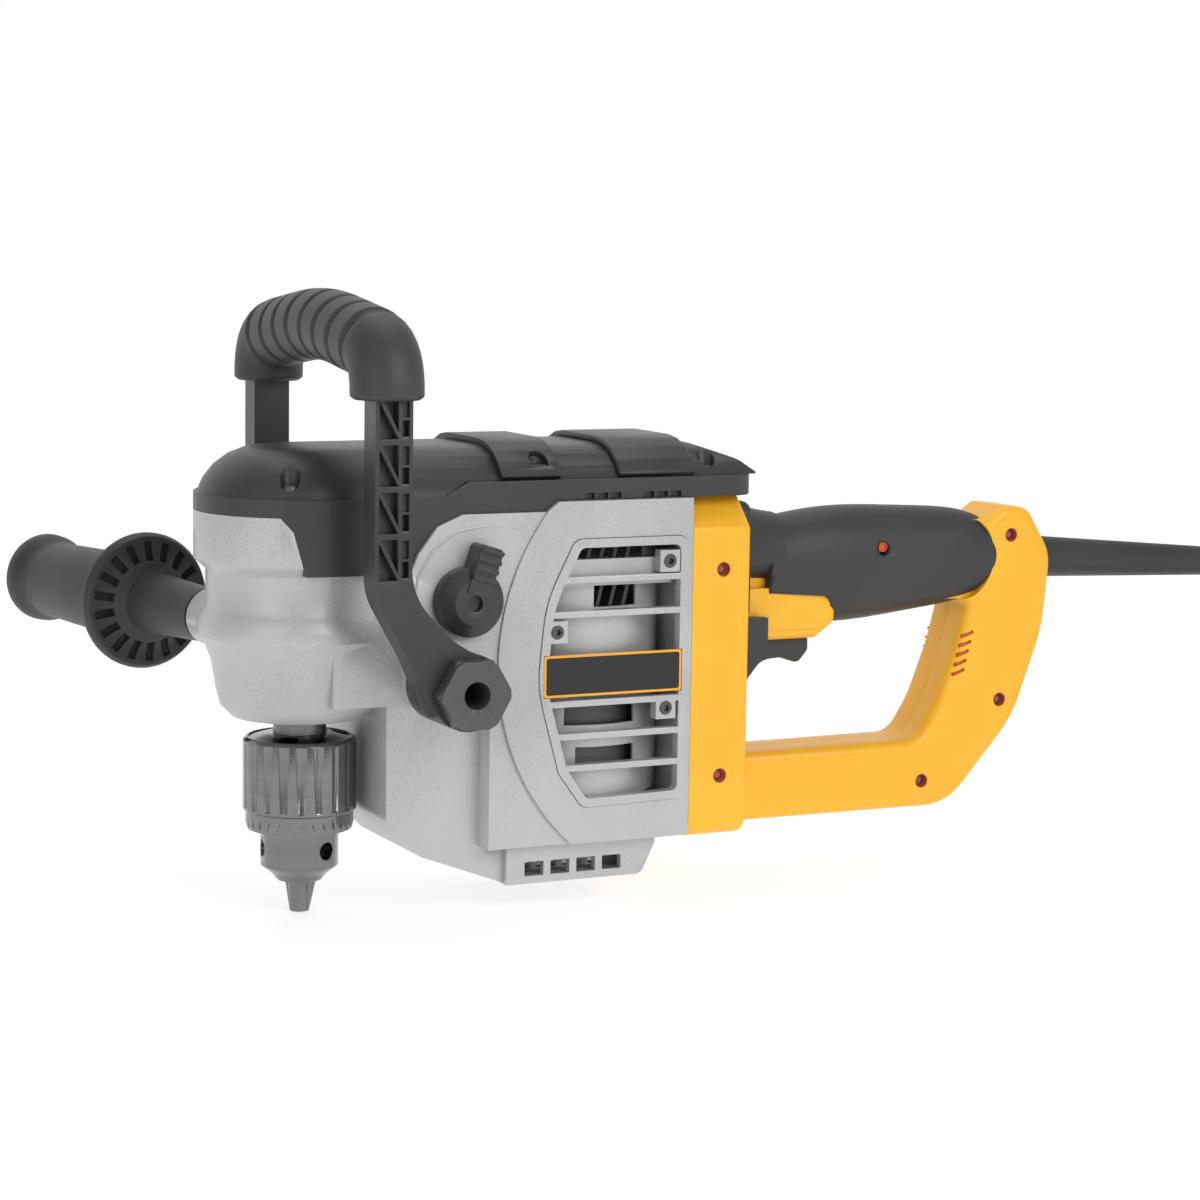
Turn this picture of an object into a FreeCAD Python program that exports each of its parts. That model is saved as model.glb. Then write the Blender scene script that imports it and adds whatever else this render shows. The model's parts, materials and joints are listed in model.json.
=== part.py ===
"""Right-angle stud and joist drill, as a parametric assembly of its separate pieces.

Frame: millimetres, +Z up, +X towards the rear handle, -Y the tool's left side.
The origin is on the spindle's axis, at the tips of the closed chuck jaws.
"""
import FreeCAD, Part
import math
import os
import re
import Sketcher

from FreeCAD import Placement, Rotation, Vector

# ---------------------------------------------------------------- driving dimensions
# alias, value, meaning
SIZES = (
    ("head_r", 47.3, "radius of the gear head at its rim, and half width of the top"),
    ("head_waist_r", 42.0, "radius of the gear head under the rim"),
    ("head_belt_r", 46.1, "radius of the gear head's lower belt"),
    ("head_base_r", 37.7, "radius of the gear head's bottom cup"),
    ("head_bottom_z", 90.0, "underside of the gear head"),
    ("rim_low_z", 157.0, "lower edge of the rim"),
    ("rim_high_z", 182.5, "joint of the silver case and the black housing"),
    ("cover_low_z", 190.5, "joint of the black housing and the cover, at the front"),
    ("cover_mid_z", 196.5, "the same joint over the motor"),
    ("cover_high_z", 210.7, "top of the cover"),
    ("case_wall", 4.0, "wall of the castings"),
    ("shell_wall", 3.0, "wall of the plastic shells"),
    ("side_y", 49.0, "half width of the case beside the shift lever"),
    ("motor_y", 50.0, "half width of the motor housing"),
    ("motor_x", 129.625, "motor axis"),
    ("motor_rear_x", 171.5, "joint of the motor housing and the handle flange"),
    ("motor_low_z", 31.0, "underside of the motor housing"),
    ("motor_high_z", 187.0, "top of the motor housing"),
    ("cage_low_z", 12.5, "underside of the vent cage"),
    ("first_x", 91.5, "first intermediate shaft"),
    ("second_x", 48.0, "second intermediate shaft"),
    ("shaft_gap", 0.06, "radial clearance of a running fit"),
    ("spindle_r", 9.0, "spindle radius in its upper bearing"),
    ("nose_r", 12.0, "spindle radius below the gear head"),
    ("second_r", 7.0, "radius of the second shaft"),
    ("armature_r", 5.0, "radius of the armature shaft"),
    ("plate_low_z", 187.0, "underside of the upper bearing plate"),
    ("plate_thick", 6.0, "thickness of the upper bearing plate"),
    ("bracket_low_z", 148.0, "underside of the motor bracket"),
    ("bracket_thick", 12.0, "thickness of the motor bracket"),
    ("sleeve_r", 25.5, "chuck sleeve radius, a 1/2 inch keyed chuck"),
    ("sleeve_low_z", 38.4, "lower end of the sleeve's toothed crown"),
    ("sleeve_high_z", 80.2, "top rim of the sleeve"),
    ("chuck_nose_r", 17.5, "radius of the chuck body below the crown"),
    ("jaw_r", 4.3, "radius of a jaw"),
    ("jaw_tilt", 13.0, "slope of a jaw's bore, degrees"),
    ("jaw_top_z", 50.2, "upper end of a closed jaw"),
    ("key_r", 4.0, "radius of a chuck key pilot hole"),
    ("key_z", 29.5, "height of the chuck key holes"),
    ("pivot_x", 47.0, "bail pivot"),
    ("pivot_z", 109.0, "bail pivot"),
    ("pivot_r", 8.0, "radius of a bail pivot bolt"),
    ("bail_y", 76.0, "middle of a bail leg"),
    ("bail_thick", 13.0, "thickness of a bail leg"),
    ("bail_x", 11.5, "middle of the bail's legs and grip"),
    ("bail_leg_w", 17.0, "width of a bail leg"),
    ("bail_top_z", 263.0, "middle of the bail grip's arch"),
    ("bail_grip_r", 16.0, "radius of the bail's rubber grip"),
    ("bail_bar_r", 9.0, "radius of the bar under the grip"),
    ("knob_x", 59.0, "shift lever axis"),
    ("knob_z", 144.4, "shift lever axis"),
    ("knob_r", 15.5, "radius of the shift lever's knob"),
    ("flange_rear_x", 202.0, "rear face of the yellow flange"),
    ("flange_low_z", 29.0, "underside of the yellow flange"),
    ("flange_high_z", 186.8, "top of the yellow flange"),
    ("handle_y", 17.0, "half width of the handle loop"),
    ("core_y", 13.0, "half width of the handle under its rubber"),
    ("side_handle_z", 128.0, "side handle axis"),
    ("side_handle_turn", 10.5, "forward slope of the side handle, degrees"),
    ("stud_r", 6.0, "radius of the side handle's stud"),
    ("lead_r", 4.5, "radius of the mains lead"),
    ("boot_root_r", 10.3, "radius of the strain relief at the handle"),
    ("boot_tip_r", 7.0, "radius of the strain relief at its tip"),
    ("boot_run", 120.0, "length of the strain relief outside the handle"),
    ("coil_x", 545.0, "middle of the stored coil"),
    ("coil_y", -63.0, "middle of the stored coil"),
    ("coil_turn_r", 63.0, "outermost turn of the stored coil"),
    ("coil_inner_r", 36.0, "innermost turn of the stored coil"),
)

doc = FreeCAD.newDocument("right_angle_drill")
sheet = doc.addObject("Spreadsheet::Sheet", "Sizes")
ALIASES = {}
for row, (alias, number, meaning) in enumerate(SIZES, start=1):
    sheet.set(f"A{row}", meaning)
    sheet.set(f"B{row}", str(number))
    sheet.setAlias(f"B{row}", alias)
    ALIASES[alias] = number
doc.recompute()

NODES = []


def size(alias):
    """The number that the sheet holds for an alias."""
    return float(sheet.get(alias))


def expression(text):
    """Turn 'sleeve_r - 2' into 'Sizes.sleeve_r - 2'."""
    return re.sub(r"[a-z_]+", lambda m: f"Sizes.{m[0]}" if m[0] in ALIASES else m[0], str(text))


def bind(item, prop, value):
    """Set a property to a number, or bind it to an expression in aliases."""
    if isinstance(value, str):
        item.setExpression(prop, expression(value))
    else:
        target = item
        *path, last = prop.split(".")
        for step in path:
            target = getattr(target, step)
        setattr(target, last, value)


def keep(item, node):
    """Name an object as one of the sub-parts that are written out."""
    item.Label = node
    NODES.append(item)
    return item


# ---------------------------------------------------------------- Part primitives
TURNED = {
    "z": Rotation(),
    "x": Rotation(Vector(0, 1, 0), 90),
    "y": Rotation(Vector(1, 0, 0), -90),
}


def place(item, at, axis="z"):
    """Put an object's own origin at a point and its own Z along a frame axis."""
    item.Placement = Placement(Vector(0, 0, 0), TURNED[axis])
    for letter, value in zip("xyz", at):
        if isinstance(value, str):
            item.setExpression(f"Placement.Base.{letter}", expression(value))
    item.Placement.Base = Vector(*(0 if isinstance(v, str) else v for v in at))
    return item


def cylinder(name, radius, height, at, axis="z"):
    """A cylinder that starts at a point and runs along an axis."""
    item = doc.addObject("Part::Cylinder", name)
    bind(item, "Radius", radius)
    bind(item, "Height", height)
    return place(item, at, axis)


def box(name, spans, at):
    """A box of three lengths whose lowest corner is at a point."""
    item = doc.addObject("Part::Box", name)
    for prop, value in zip(("Length", "Width", "Height"), spans):
        bind(item, prop, value)
    return place(item, at)


def prism(name, sides, circumradius, height, at, axis="z"):
    """A regular prism, such as a hexagon head."""
    item = doc.addObject("Part::Prism", name)
    item.Polygon = sides
    bind(item, "Circumradius", circumradius)
    bind(item, "Height", height)
    return place(item, at, axis)


def cut(name, base, tool):
    """Base less tool."""
    item = doc.addObject("Part::Cut", name)
    item.Base = base
    item.Tool = tool
    return item


def fuse(name, *pieces):
    """Several overlapping pieces as one."""
    item = doc.addObject("Part::MultiFuse", name)
    item.Shapes = list(pieces)
    item.Refine = True
    return item


def ring(name, outer, inner, height, at, axis="z"):
    """A plain ring: a bearing, a spacer or a seal."""
    solid = cylinder(name + "_outer", outer, height, at, axis)
    hole = cylinder(name + "_hole", inner, height, at, axis)
    return cut(name, solid, hole)


def group(name, pieces):
    """Identical separate pieces that share one node."""
    item = doc.addObject("Part::Compound", name)
    item.Links = list(pieces)
    return item


def feature(name, shape):
    """An object whose shape is made by Part's own functions."""
    item = doc.addObject("Part::Feature", name)
    item.Shape = shape
    return item


# ---------------------------------------------------------------- PartDesign bodies
def origin_plane(body, role):
    """A body's own origin plane."""
    return next(o for o in body.Origin.OriginFeatures if o.Role == role)


def pin_point(sketch, edge, value, direction):
    """Bind one coordinate of a sketch line's start, direction is 'X' or 'Y'."""
    index = sketch.addConstraint(Sketcher.Constraint(f"Distance{direction}", -1, 1, edge, 1, 1.0))
    sketch.setDatum(index, FreeCAD.Units.Quantity(f"{measure(value)} mm"))
    if isinstance(value, str):
        sketch.setExpression(f"Constraints[{index}]", expression(value))


def measure(value):
    """The number behind a value: itself, or a sum and difference of aliases and numbers."""
    if not isinstance(value, str):
        return value
    total = 0.0
    for sign, word in re.findall(r"([+-]?)\s*([a-z_]+|[0-9.]+)", value):
        number = size(word) if word in ALIASES else float(word)
        total += -number if sign == "-" else number
    return total


def turned(node, profile):
    """A PartDesign body turned about Z from (radius, height) corners, each a value or an expression."""
    body = doc.addObject("PartDesign::Body", node)
    sketch = body.newObject("Sketcher::SketchObject", node + "_profile")
    sketch.AttachmentSupport = [(origin_plane(body, "XZ_Plane"), "")]
    sketch.MapMode = "FlatFace"
    corners = [Vector(measure(r), measure(z), 0) for r, z in profile]
    for start, end in zip(corners, corners[1:] + corners[:1]):
        sketch.addGeometry(Part.LineSegment(start, end), False)
    count = len(corners)
    for edge in range(count):
        sketch.addConstraint(Sketcher.Constraint("Coincident", edge, 2, (edge + 1) % count, 1))
    for edge, (radius, height) in enumerate(profile):
        pin_point(sketch, edge, radius, "X")
        pin_point(sketch, edge, height, "Y")
    doc.recompute()
    revolution = body.newObject("PartDesign::Revolution", node + "_turning")
    revolution.Profile = sketch
    revolution.ReferenceAxis = (sketch, ["V_Axis"])
    revolution.Angle = 360
    body.Tip = revolution
    doc.recompute()
    return body


# ---------------------------------------------------------------- shapes by Part's functions
def outline(points, plane="xz"):
    """A face from corner points; a point with a third number rounds that corner by it."""
    def at(u, v):
        return Vector(u, 0, v) if plane == "xz" else Vector(u, v, 0)

    count = len(points)
    edges = []
    joints = []
    for i, point in enumerate(points):
        here = at(*point[:2])
        if len(point) == 2:
            joints.append((here, None, here))
            continue
        before = at(*points[i - 1][:2]) - here
        after = at(*points[(i + 1) % count][:2]) - here
        half = before.getAngle(after) / 2
        back = point[2] / math.tan(half)
        before.normalize()
        after.normalize()
        middle = before + after
        middle.normalize()
        centre = here + middle * (point[2] / math.sin(half))
        joints.append((here + before * back, centre - middle * point[2], here + after * back))
    for i, (start, bulge, end) in enumerate(joints):
        if bulge is not None:
            edges.append(Part.Arc(start, bulge, end).toShape())
        following = joints[(i + 1) % count][0]
        if (following - end).Length > 1e-6:
            edges.append(Part.LineSegment(end, following).toShape())
    return Part.Face(Part.Wire(edges))


def slab(points, low_y, high_y):
    """An outline in XZ, thickened from one Y to another."""
    face = outline(points)
    face.translate(Vector(0, low_y, 0))
    return face.extrude(Vector(0, high_y - low_y, 0))


def plate(points, low_z, high_z):
    """An outline in XY, thickened from one Z to another."""
    face = outline(points, "xy")
    face.translate(Vector(0, 0, low_z))
    return face.extrude(Vector(0, 0, high_z - low_z))


def lathe(profile, centre=(0, 0)):
    """A solid turned about a vertical axis from (radius, height) corners."""
    wire = Part.makePolygon([Vector(r, 0, z) for r, z in profile + profile[:1]])
    solid = Part.Face(wire).revolve(Vector(0, 0, 0), Vector(0, 0, 1), 360)
    solid.translate(Vector(centre[0], centre[1], 0))
    return solid


def block(low, high):
    """A box between two corners."""
    return Part.makeBox(*(h - l for l, h in zip(low, high)), Vector(*low))


def drill(radius, start, end):
    """A cylinder between two points."""
    along = Vector(*end) - Vector(*start)
    return Part.makeCylinder(radius, along.Length, Vector(*start), along)


def mirrored(shape):
    """The shape's mirror image on the tool's other side."""
    return shape.mirror(Vector(0, 0, 0), Vector(0, 1, 0))


def both_sides(shape):
    """A shape and its mirror image."""
    return Part.makeCompound([shape, mirrored(shape)])


def hull(half_width, rear_x, corner, low_z, high_z):
    """The tool's plan, thickened: round about the spindle, straight sides, rounded rear corners."""
    sides = [(0, -half_width), (rear_x, -half_width, corner), (rear_x, half_width, corner), (0, half_width)]
    head = Part.makeCylinder(half_width, high_z - low_z, Vector(0, 0, low_z))
    return plate(sides, low_z, high_z).fuse(head).removeSplitter()


def dome(half_width, high_z, rear_x):
    """The cover's outside: a quarter ellipse, turned about the spindle and run back along the sides."""
    spring_z = size("rim_high_z") - 1
    rise = high_z - spring_z
    reach = 30.0
    flat = half_width - reach
    steps = [math.radians(a) for a in (0, 15, 30, 45, 60, 75, 90)]
    rim = [(flat + reach * math.cos(a), spring_z + rise * math.sin(a)) for a in steps]
    front = lathe([(0, spring_z)] + rim + [(0, high_z)])
    across = rim + [(-r, z) for r, z in reversed(rim)]
    wire = Part.makePolygon([Vector(0, y, z) for y, z in across + across[:1]])
    back = Part.Face(wire).extrude(Vector(rear_x, 0, 0))
    return front.fuse(back).removeSplitter()


# ---------------------------------------------------------------- outlines shared by neighbours
def seam_outline():
    """The motor housing from the side: its front edge is the long arc of the casing's seam."""
    low, high = size("motor_low_z"), size("motor_high_z")
    rear = size("motor_rear_x")
    arc = Part.Arc(Vector(102, 0, high), Vector(75, 0, 112), Vector(112, 0, low)).toShape()
    corners = [Vector(112, 0, low), Vector(rear, 0, low), Vector(rear, 0, high), Vector(102, 0, high)]
    sides = [Part.LineSegment(a, b).toShape() for a, b in zip(corners, corners[1:])]
    return Part.Face(Part.Wire([arc] + sides))


def seam_solid(half_width):
    """The motor housing's outline, thickened to both sides."""
    face = seam_outline()
    face.translate(Vector(0, -half_width, 0))
    return face.extrude(Vector(0, 2 * half_width, 0))


def black_band():
    """The black housing from the side, with the tab that comes down behind the bail's leg."""
    rim, low = size("rim_high_z"), size("rim_low_z")
    front, middle = size("cover_low_z"), size("cover_mid_z")
    return [
        (-60, rim), (-24, rim), (-19, rim - 6), (-14, low), (33, low), (37, low + 9), (46, rim - 5),
        (58, rim), (98, rim), (104, size("motor_high_z")), (210, size("motor_high_z")),
        (210, middle), (62, middle), (50, front), (-60, front),
    ]


def window_points(grow=0.0):
    """The outline of the side grille."""
    return [
        (112 - grow, 170 + grow, 6), (169 + grow, 170 + grow, 5), (169 + grow, 48.5 - grow, 6),
        (117 - grow, 47.5 - grow, 6), (105 - grow, 64, 8), (94 - grow, 104, 60), (98 - grow, 142, 60),
    ]


def side_axis(distance):
    """A point on the side handle's axis."""
    slope = math.radians(size("side_handle_turn"))
    return Vector(-12.9 - distance * math.sin(slope), distance * math.cos(slope), size("side_handle_z"))


# ---------------------------------------------------------------- castings and covers
def gear_case():
    """The silver casting: gear head, shift lever side, front block and the bearing seats."""
    rim = size("rim_high_z")
    waist, belt, base = size("head_waist_r"), size("head_belt_r"), size("head_base_r")
    low = size("head_bottom_z")
    head = lathe([
        (0, low), (base - 7, low), (base - 2, low + 5), (base, low + 13), (base + 2, low + 25),
        (belt - 3, low + 34), (belt, low + 37), (belt, low + 41), (belt - 1, low + 45),
        (waist, low + 51), (waist, size("rim_low_z") - 1), (size("head_r"), size("rim_low_z") + 4),
        (size("head_r"), rim), (0, rim),
    ])
    side = size("side_y")
    middle = block((0, -waist, low + 8), (90, waist, rim))
    rim_block = block((0, -size("head_r"), size("rim_low_z") + 4), (90, size("head_r"), rim))
    cheeks = slab([(33, 98, 5), (100, 98), (110, rim), (30, rim), (30, 140)], -side, side)
    chin = slab([(27, 100), (27, 46, 4), (44, 28), (84, 13), (84, 100)], -37, 37)
    jowls = slab([(72, 100), (72, 31), (112, 31), (112, 100)], 1 - side, side - 1)
    solid = head.fuse([middle, rim_block, cheeks, chin, jowls])
    for sign in (-1, 1):
        solid = solid.fuse(drill(15, (size("pivot_x"), sign * 30, size("pivot_z")),
                                 (size("pivot_x"), sign * 51.2, size("pivot_z"))))
    solid = solid.fuse(drill(13, side_axis(30), side_axis(56)))
    inner = size("head_r") - 9.8
    room = lathe([(0, 112), (inner, 112), (inner, 200), (0, 200)])
    room = room.fuse([
        block((0, -inner, 112), (76, inner, 200)),
        block((70, -44, 160), (112, 44, 200)),
        block((32, -32, 46), (90, 32, 94)),
        block((76, -44, 30), (112, 44, size("bracket_low_z"))),
        block((80.9, -45.1, size("bracket_low_z")), (112, 45.1, 160)),
    ])
    solid = solid.cut(room)
    solid = solid.cut(seam_solid(60))
    tab = hull(60, 205, 12, size("rim_low_z"), rim).cut(hull(waist, 205, 12, size("rim_low_z"), rim))
    solid = solid.cut(tab.common(slab(black_band(), -60, 60)))
    for sign in (-1, 1):
        solid = solid.cut(drill(size("pivot_r"), (size("pivot_x"), sign * 38, size("pivot_z")),
                                (size("pivot_x"), sign * 60, size("pivot_z"))))
    solid = solid.cut(drill(size("stud_r") + size("shaft_gap"), side_axis(37.5), side_axis(60)))
    solid = solid.cut(drill(5.1, (size("knob_x"), -60, size("knob_z")), (size("knob_x"), -30, size("knob_z"))))
    for radius, bottom, top, x in ((14, 80, 100, 0), (20, 96, 120, 0), (11, 98, 120, size("second_x"))):
        solid = solid.cut(Part.makeCylinder(radius, top - bottom, Vector(x, 0, bottom)))
    return solid.removeSplitter()


def upper_housing():
    """The black housing between the castings and the cover."""
    outer, rim = size("head_r"), size("rim_high_z")
    wall = size("shell_wall")
    high = size("cover_mid_z")
    band = hull(outer, 206, 12, rim, high).cut(hull(outer - wall, 206 - wall, 9, rim, high))
    tab = hull(outer, 206, 12, size("rim_low_z"), rim)
    tab = tab.cut(hull(size("head_waist_r"), 206, 12, size("rim_low_z"), rim))
    return band.fuse(tab).common(slab(black_band(), -60, 60)).removeSplitter()


COVER_SCREWS = ((-18.0, 36.5, 195.0), (98.0, 37.5, 200.0), (184.0, 36.0, 199.0))


def top_cover():
    """The black cover with its sloping rear end and the pockets of its screws."""
    front, middle, high = size("cover_low_z"), size("cover_mid_z"), size("cover_high_z")
    side = [
        (-60, front), (50, front), (62, middle), (207, middle), (207, middle + 1), (200, 203, 8),
        (176, high + 1), (-60, high + 1),
    ]
    wall = size("shell_wall")
    outer = dome(size("head_r"), high, 207).common(slab(side, -60, 60))
    inner_side = [(x - wall if x > 100 else x, z - wall if z > 200 else z) for x, z, *_ in side]
    inner = dome(size("head_r") - wall, high - wall, 207).common(slab(inner_side, -60, 60))
    solid = outer.cut(inner)
    for x, y, z in COVER_SCREWS:
        for sign in (-1, 1):
            post = Part.makeCylinder(6.0, 30, Vector(x, sign * y, z - 1.6)).common(outer)
            pocket = Part.makeCylinder(4.4, 30, Vector(x, sign * y, z))
            solid = solid.fuse(post).cut(pocket)
    return solid.removeSplitter()


def motor_housing():
    """The silver motor housing, open above, below and at both sides for the grilles."""
    half = size("motor_y")
    low, high = size("motor_low_z"), size("motor_high_z")
    rear = size("motor_rear_x")
    inside = half - size("case_wall")
    room = block((60, -inside, low + 3), (rear - 3, inside, high + 1))
    mouth = block((92, -36, low - 1), (rear - 12, 36, low + 4))
    solid = seam_solid(half).cut(room).cut(mouth)
    solid = solid.cut(slab(window_points(), -60, 60)).cut(slab(black_band(), -60, 60))
    return solid.removeSplitter()


def grille(sign):
    """A side grille: a frame with seven bars, its screw bosses and the seat of the badge."""
    low, high = size("motor_y") - 5.0, size("motor_y") + 0.6
    frame = slab(window_points(-0.1), low, high)
    opening = slab([
        (115, 166, 4), (165, 166, 3), (165, 52.5, 3), (119, 51.5, 4), (109, 66, 6), (98.5, 104, 50), (102, 140, 50),
    ], low - 1, high + 1)
    bars = [block((90, low + 0.5, z - 1.4), (170, high, z + 1.4)) for z in (151.5, 136, 121, 95.5, 80.5, 66)]
    seat = block((95, low, 97), (168, high, 120))
    shape = opening.common(Part.makeCompound(bars + [seat]))
    bosses = [block((x - 5, low, z - 5), (x + 5, high, z + 5)) for x, z in GRILLE_SCREWS]
    shape = frame.cut(opening).fuse([shape] + [opening.common(b) for b in bosses])
    shape = shape.cut(block((97, high - 1.2, 98.5), (166.5, high + 1, 118)))
    for x, z in GRILLE_SCREWS:
        shape = shape.cut(drill(3.2, (x, high - 2.5, z), (x, high + 2, z)))
    return shape.removeSplitter() if sign > 0 else mirrored(shape.removeSplitter())


GRILLE_SCREWS = ((159.5, 158.5), (103.5, 128.3), (158.5, 91.0))


def vent_cage():
    """The cage under the motor with its exhaust openings and the lower bearing seat."""
    low, high = size("cage_low_z"), size("motor_low_z")
    outer = slab([(84, low), (152, low, 4), (159, high - 4), (159, high), (84, high)], -41, 41)
    room = slab([(87, low + 3), (149, low + 3), (155, high + 1), (87, high + 1)], -37, 37)
    seat = Part.makeCylinder(15, 10, Vector(size("motor_x"), 0, low + 3))
    spokes = [block((87, y - 2, low + 3), (153, y + 2, low + 9)) for y in (-24, 0, 24)]
    cage = outer.cut(room).fuse([seat] + spokes)
    for x in (93, 106, 119, 132):
        cage = cage.cut(block((x, -50, low + 3.5), (x + 9.5, 50, low + 10)))
        for y in (-19, 7):
            cage = cage.cut(block((x, y, low - 1), (x + 9, y + 12, low + 4)))
    cage = cage.fuse(seat)
    cage = cage.cut(Part.makeCylinder(11, 9, Vector(size("motor_x"), 0, 17)))
    return cage.removeSplitter()


def bearing_plate():
    """The plate over the gears that holds the upper bearings."""
    low, high = size("plate_low_z"), size("plate_low_z") + size("plate_thick")
    rim_high = size("cover_low_z") - 0.1
    blank = hull(size("head_r") - size("shell_wall"), 112, 6, low, rim_high)
    blank = blank.fuse(hull(size("head_r") - 9, 108, 6, low, high))
    for x, radius in ((0, 15), (size("second_x"), 11), (size("first_x"), 9)):
        blank = blank.cut(Part.makeCylinder(radius, high - low, Vector(x, 0, low)))
    return blank


def motor_bracket():
    """The wall between motor and gears, with the armature's upper bearing and the first shaft's lower one."""
    low = size("bracket_low_z")
    high = low + size("bracket_thick")
    blank = plate([(81, -45), (168, -45, 6), (168, 45, 6), (81, 45)], low, high)
    for x, radius, bottom in ((size("motor_x"), 11, low - 1), (size("first_x"), 9, low + 4)):
        blank = blank.cut(Part.makeCylinder(radius, high - bottom, Vector(x, 0, bottom)))
    return blank


# ---------------------------------------------------------------- rear handle
LOOP_OUTSIDE = (
    (200, 27), (335, 26.5, 30), (372, 68, 60), (388, 112, 80), (391.5, 150, 22), (377, 173, 9), (362, 174.5, 4),
    (352, 168), (226, 166), (200, 178),
)
LOOP_INSIDE = (
    (198, 60), (316, 60.5, 14), (327, 78, 60), (337, 104, 60), (343.5, 129), (268, 129), (268, 121, 6),
    (257, 113.5), (198, 113.5),
)


def handle_loop(half_width):
    """The handle's loop as one solid block, before it is hollowed and split."""
    loop = slab(list(LOOP_OUTSIDE), -half_width, half_width)
    return loop.cut(slab(list(LOOP_INSIDE), -60, 60))


def grip_space():
    """The stretch of the loop that is slimmer, under the rubber."""
    return block((228, -60, 124), (356, 60, 180))


def handle_half(sign):
    """One half of the yellow handle: flange, loop, and the hollow for the switch and wires."""
    front, rear = size("motor_rear_x"), size("flange_rear_x")
    low, high = size("flange_low_z"), size("flange_high_z")
    half, core = size("handle_y"), size("core_y")
    flange = plate([(front, 0), (rear, 0), (rear, 50, 9), (front, 50)], low, high)
    slope = slab([(front - 1, high - 14), (rear - 3, high - 14), (rear - 9, high + 1), (front - 1, high + 1)], 0, 60)
    flange = flange.common(block((front, 0, low), (rear, 60, high - 14)).fuse(slope))
    room = block((front - 1, -1, low + 4), (rear - 4, 46, high - 18))
    loop = handle_loop(half).common(block((rear - 6, 0, 0), (400, half, 200)))
    trim = grip_space().common(block((200, core, 100), (400, 60, 200)))
    void = [
        block((190, -1, 31), (336, half - 4, 56)),
        block((190, -1, 117.5), (262, 9.6, 163)),
        block((255, -1, 133), (352, 9.6, 163)),
        slab([(330, 40), (345, 45), (377, 110), (382, 150), (374, 164), (350, 160), (350, 128), (338, 92)], -1, half - 4),
    ]
    solid = flange.cut(room).fuse(loop.cut(trim)).cut(Part.makeCompound(void))
    solid = solid.cut(block((203.5, -1, 108), (259.5, 9.2, 120.5)))
    solid = solid.cut(block((206, -1, 120.5), (234, 60, 127.5)))
    solid = solid.cut(drill(2.0 + size("shaft_gap"), (211, -1, 113), (211, 11.3, 113)))
    axis = (Vector(391, 0, 146.8), Vector(math.cos(BOOT_ANGLE), 0, -math.sin(BOOT_ANGLE)))
    solid = solid.cut(Part.makeCylinder(8.0, 40, axis[0] - axis[1] * 30, axis[1]))
    for x, z in HANDLE_SCREWS:
        depth = 44 if x < 220 else half - 4
        outer = 51 if x < 220 else half + 1
        solid = solid.cut(drill(3.6, (x, depth, z), (x, outer, z)))
    solid = solid.removeSplitter()
    return solid if sign > 0 else mirrored(solid)


HANDLE_SCREWS = ((187.5, 153.5), (187.5, 57.5), (318.0, 40.0), (362.0, 78.0), (366.0, 160.0))
BOOT_ANGLE = math.radians(3.4)


def grip_section(x, low_z, high_z, half_width):
    """One oval section of the rubber grip."""
    middle, rise = (low_z + high_z) / 2, (high_z - low_z) / 2
    points = []
    for step in range(24):
        angle = 2 * math.pi * step / 24
        y = half_width * math.copysign(abs(math.cos(angle)) ** 0.85, math.cos(angle))
        z = middle + rise * math.copysign(abs(math.sin(angle)) ** 0.85, math.sin(angle))
        points.append(Vector(x, y, z))
    curve = Part.BSplineCurve()
    curve.interpolate(points, PeriodicFlag=True)
    return Part.Wire(curve.toShape())


def handle_grip():
    """The rubber over the handle, cut away for the yellow tongue above the trigger."""
    sections = (
        (230, 124, 171, 19), (250, 121, 173.5, 20), (290, 120.5, 175.8, 21), (325, 124.5, 174.2, 20.5),
        (350, 129.5, 170.5, 19), (359, 134, 166, 16.5),
    )
    wires = [grip_section(*s) for s in sections]
    solid = Part.makeLoft(wires, True, False)
    solid = solid.cut(handle_loop(size("core_y")))
    solid = solid.cut(handle_loop(size("handle_y")).cut(grip_space()))
    solid = solid.cut(slab([(225, 110), (275, 110), (264, 125), (264, 134, 6), (225, 137)], -30, 30))
    for sign in (-1, 1):
        solid = solid.cut(drill(3.4, (291, sign * size("core_y"), 156), (291, sign * 40, 156)))
    return max(solid.Solids, key=lambda s: s.Volume)


def trigger():
    """The trigger, a long curved paddle that swings up into the handle on two moulded pegs."""
    side = [
        (207, 118.5), (257, 118.5), (257.5, 107, 3), (252, 100.5, 4), (243, 103.8, 8), (232, 103, 10),
        (222, 91, 8), (214, 82, 4), (207, 84),
    ]
    paddle = slab(side, -8.6, 8.6)
    return paddle.fuse(drill(2.0, (211, -11, 113), (211, 11, 113))).removeSplitter()


def reversing_lever():
    """The reversing lever: a bar through the handle with a finger tab at each end."""
    bar = block((217, -20, 122), (223, 20, 126))
    hub = Part.makeCylinder(5, 4, Vector(220, 0, 122))
    tabs = [block((214, s * 21.6 - 2.4, 109), (226, s * 21.6 + 2.4, 126)) for s in (-1, 1)]
    return bar.fuse([hub] + tabs).removeSplitter()


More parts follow.
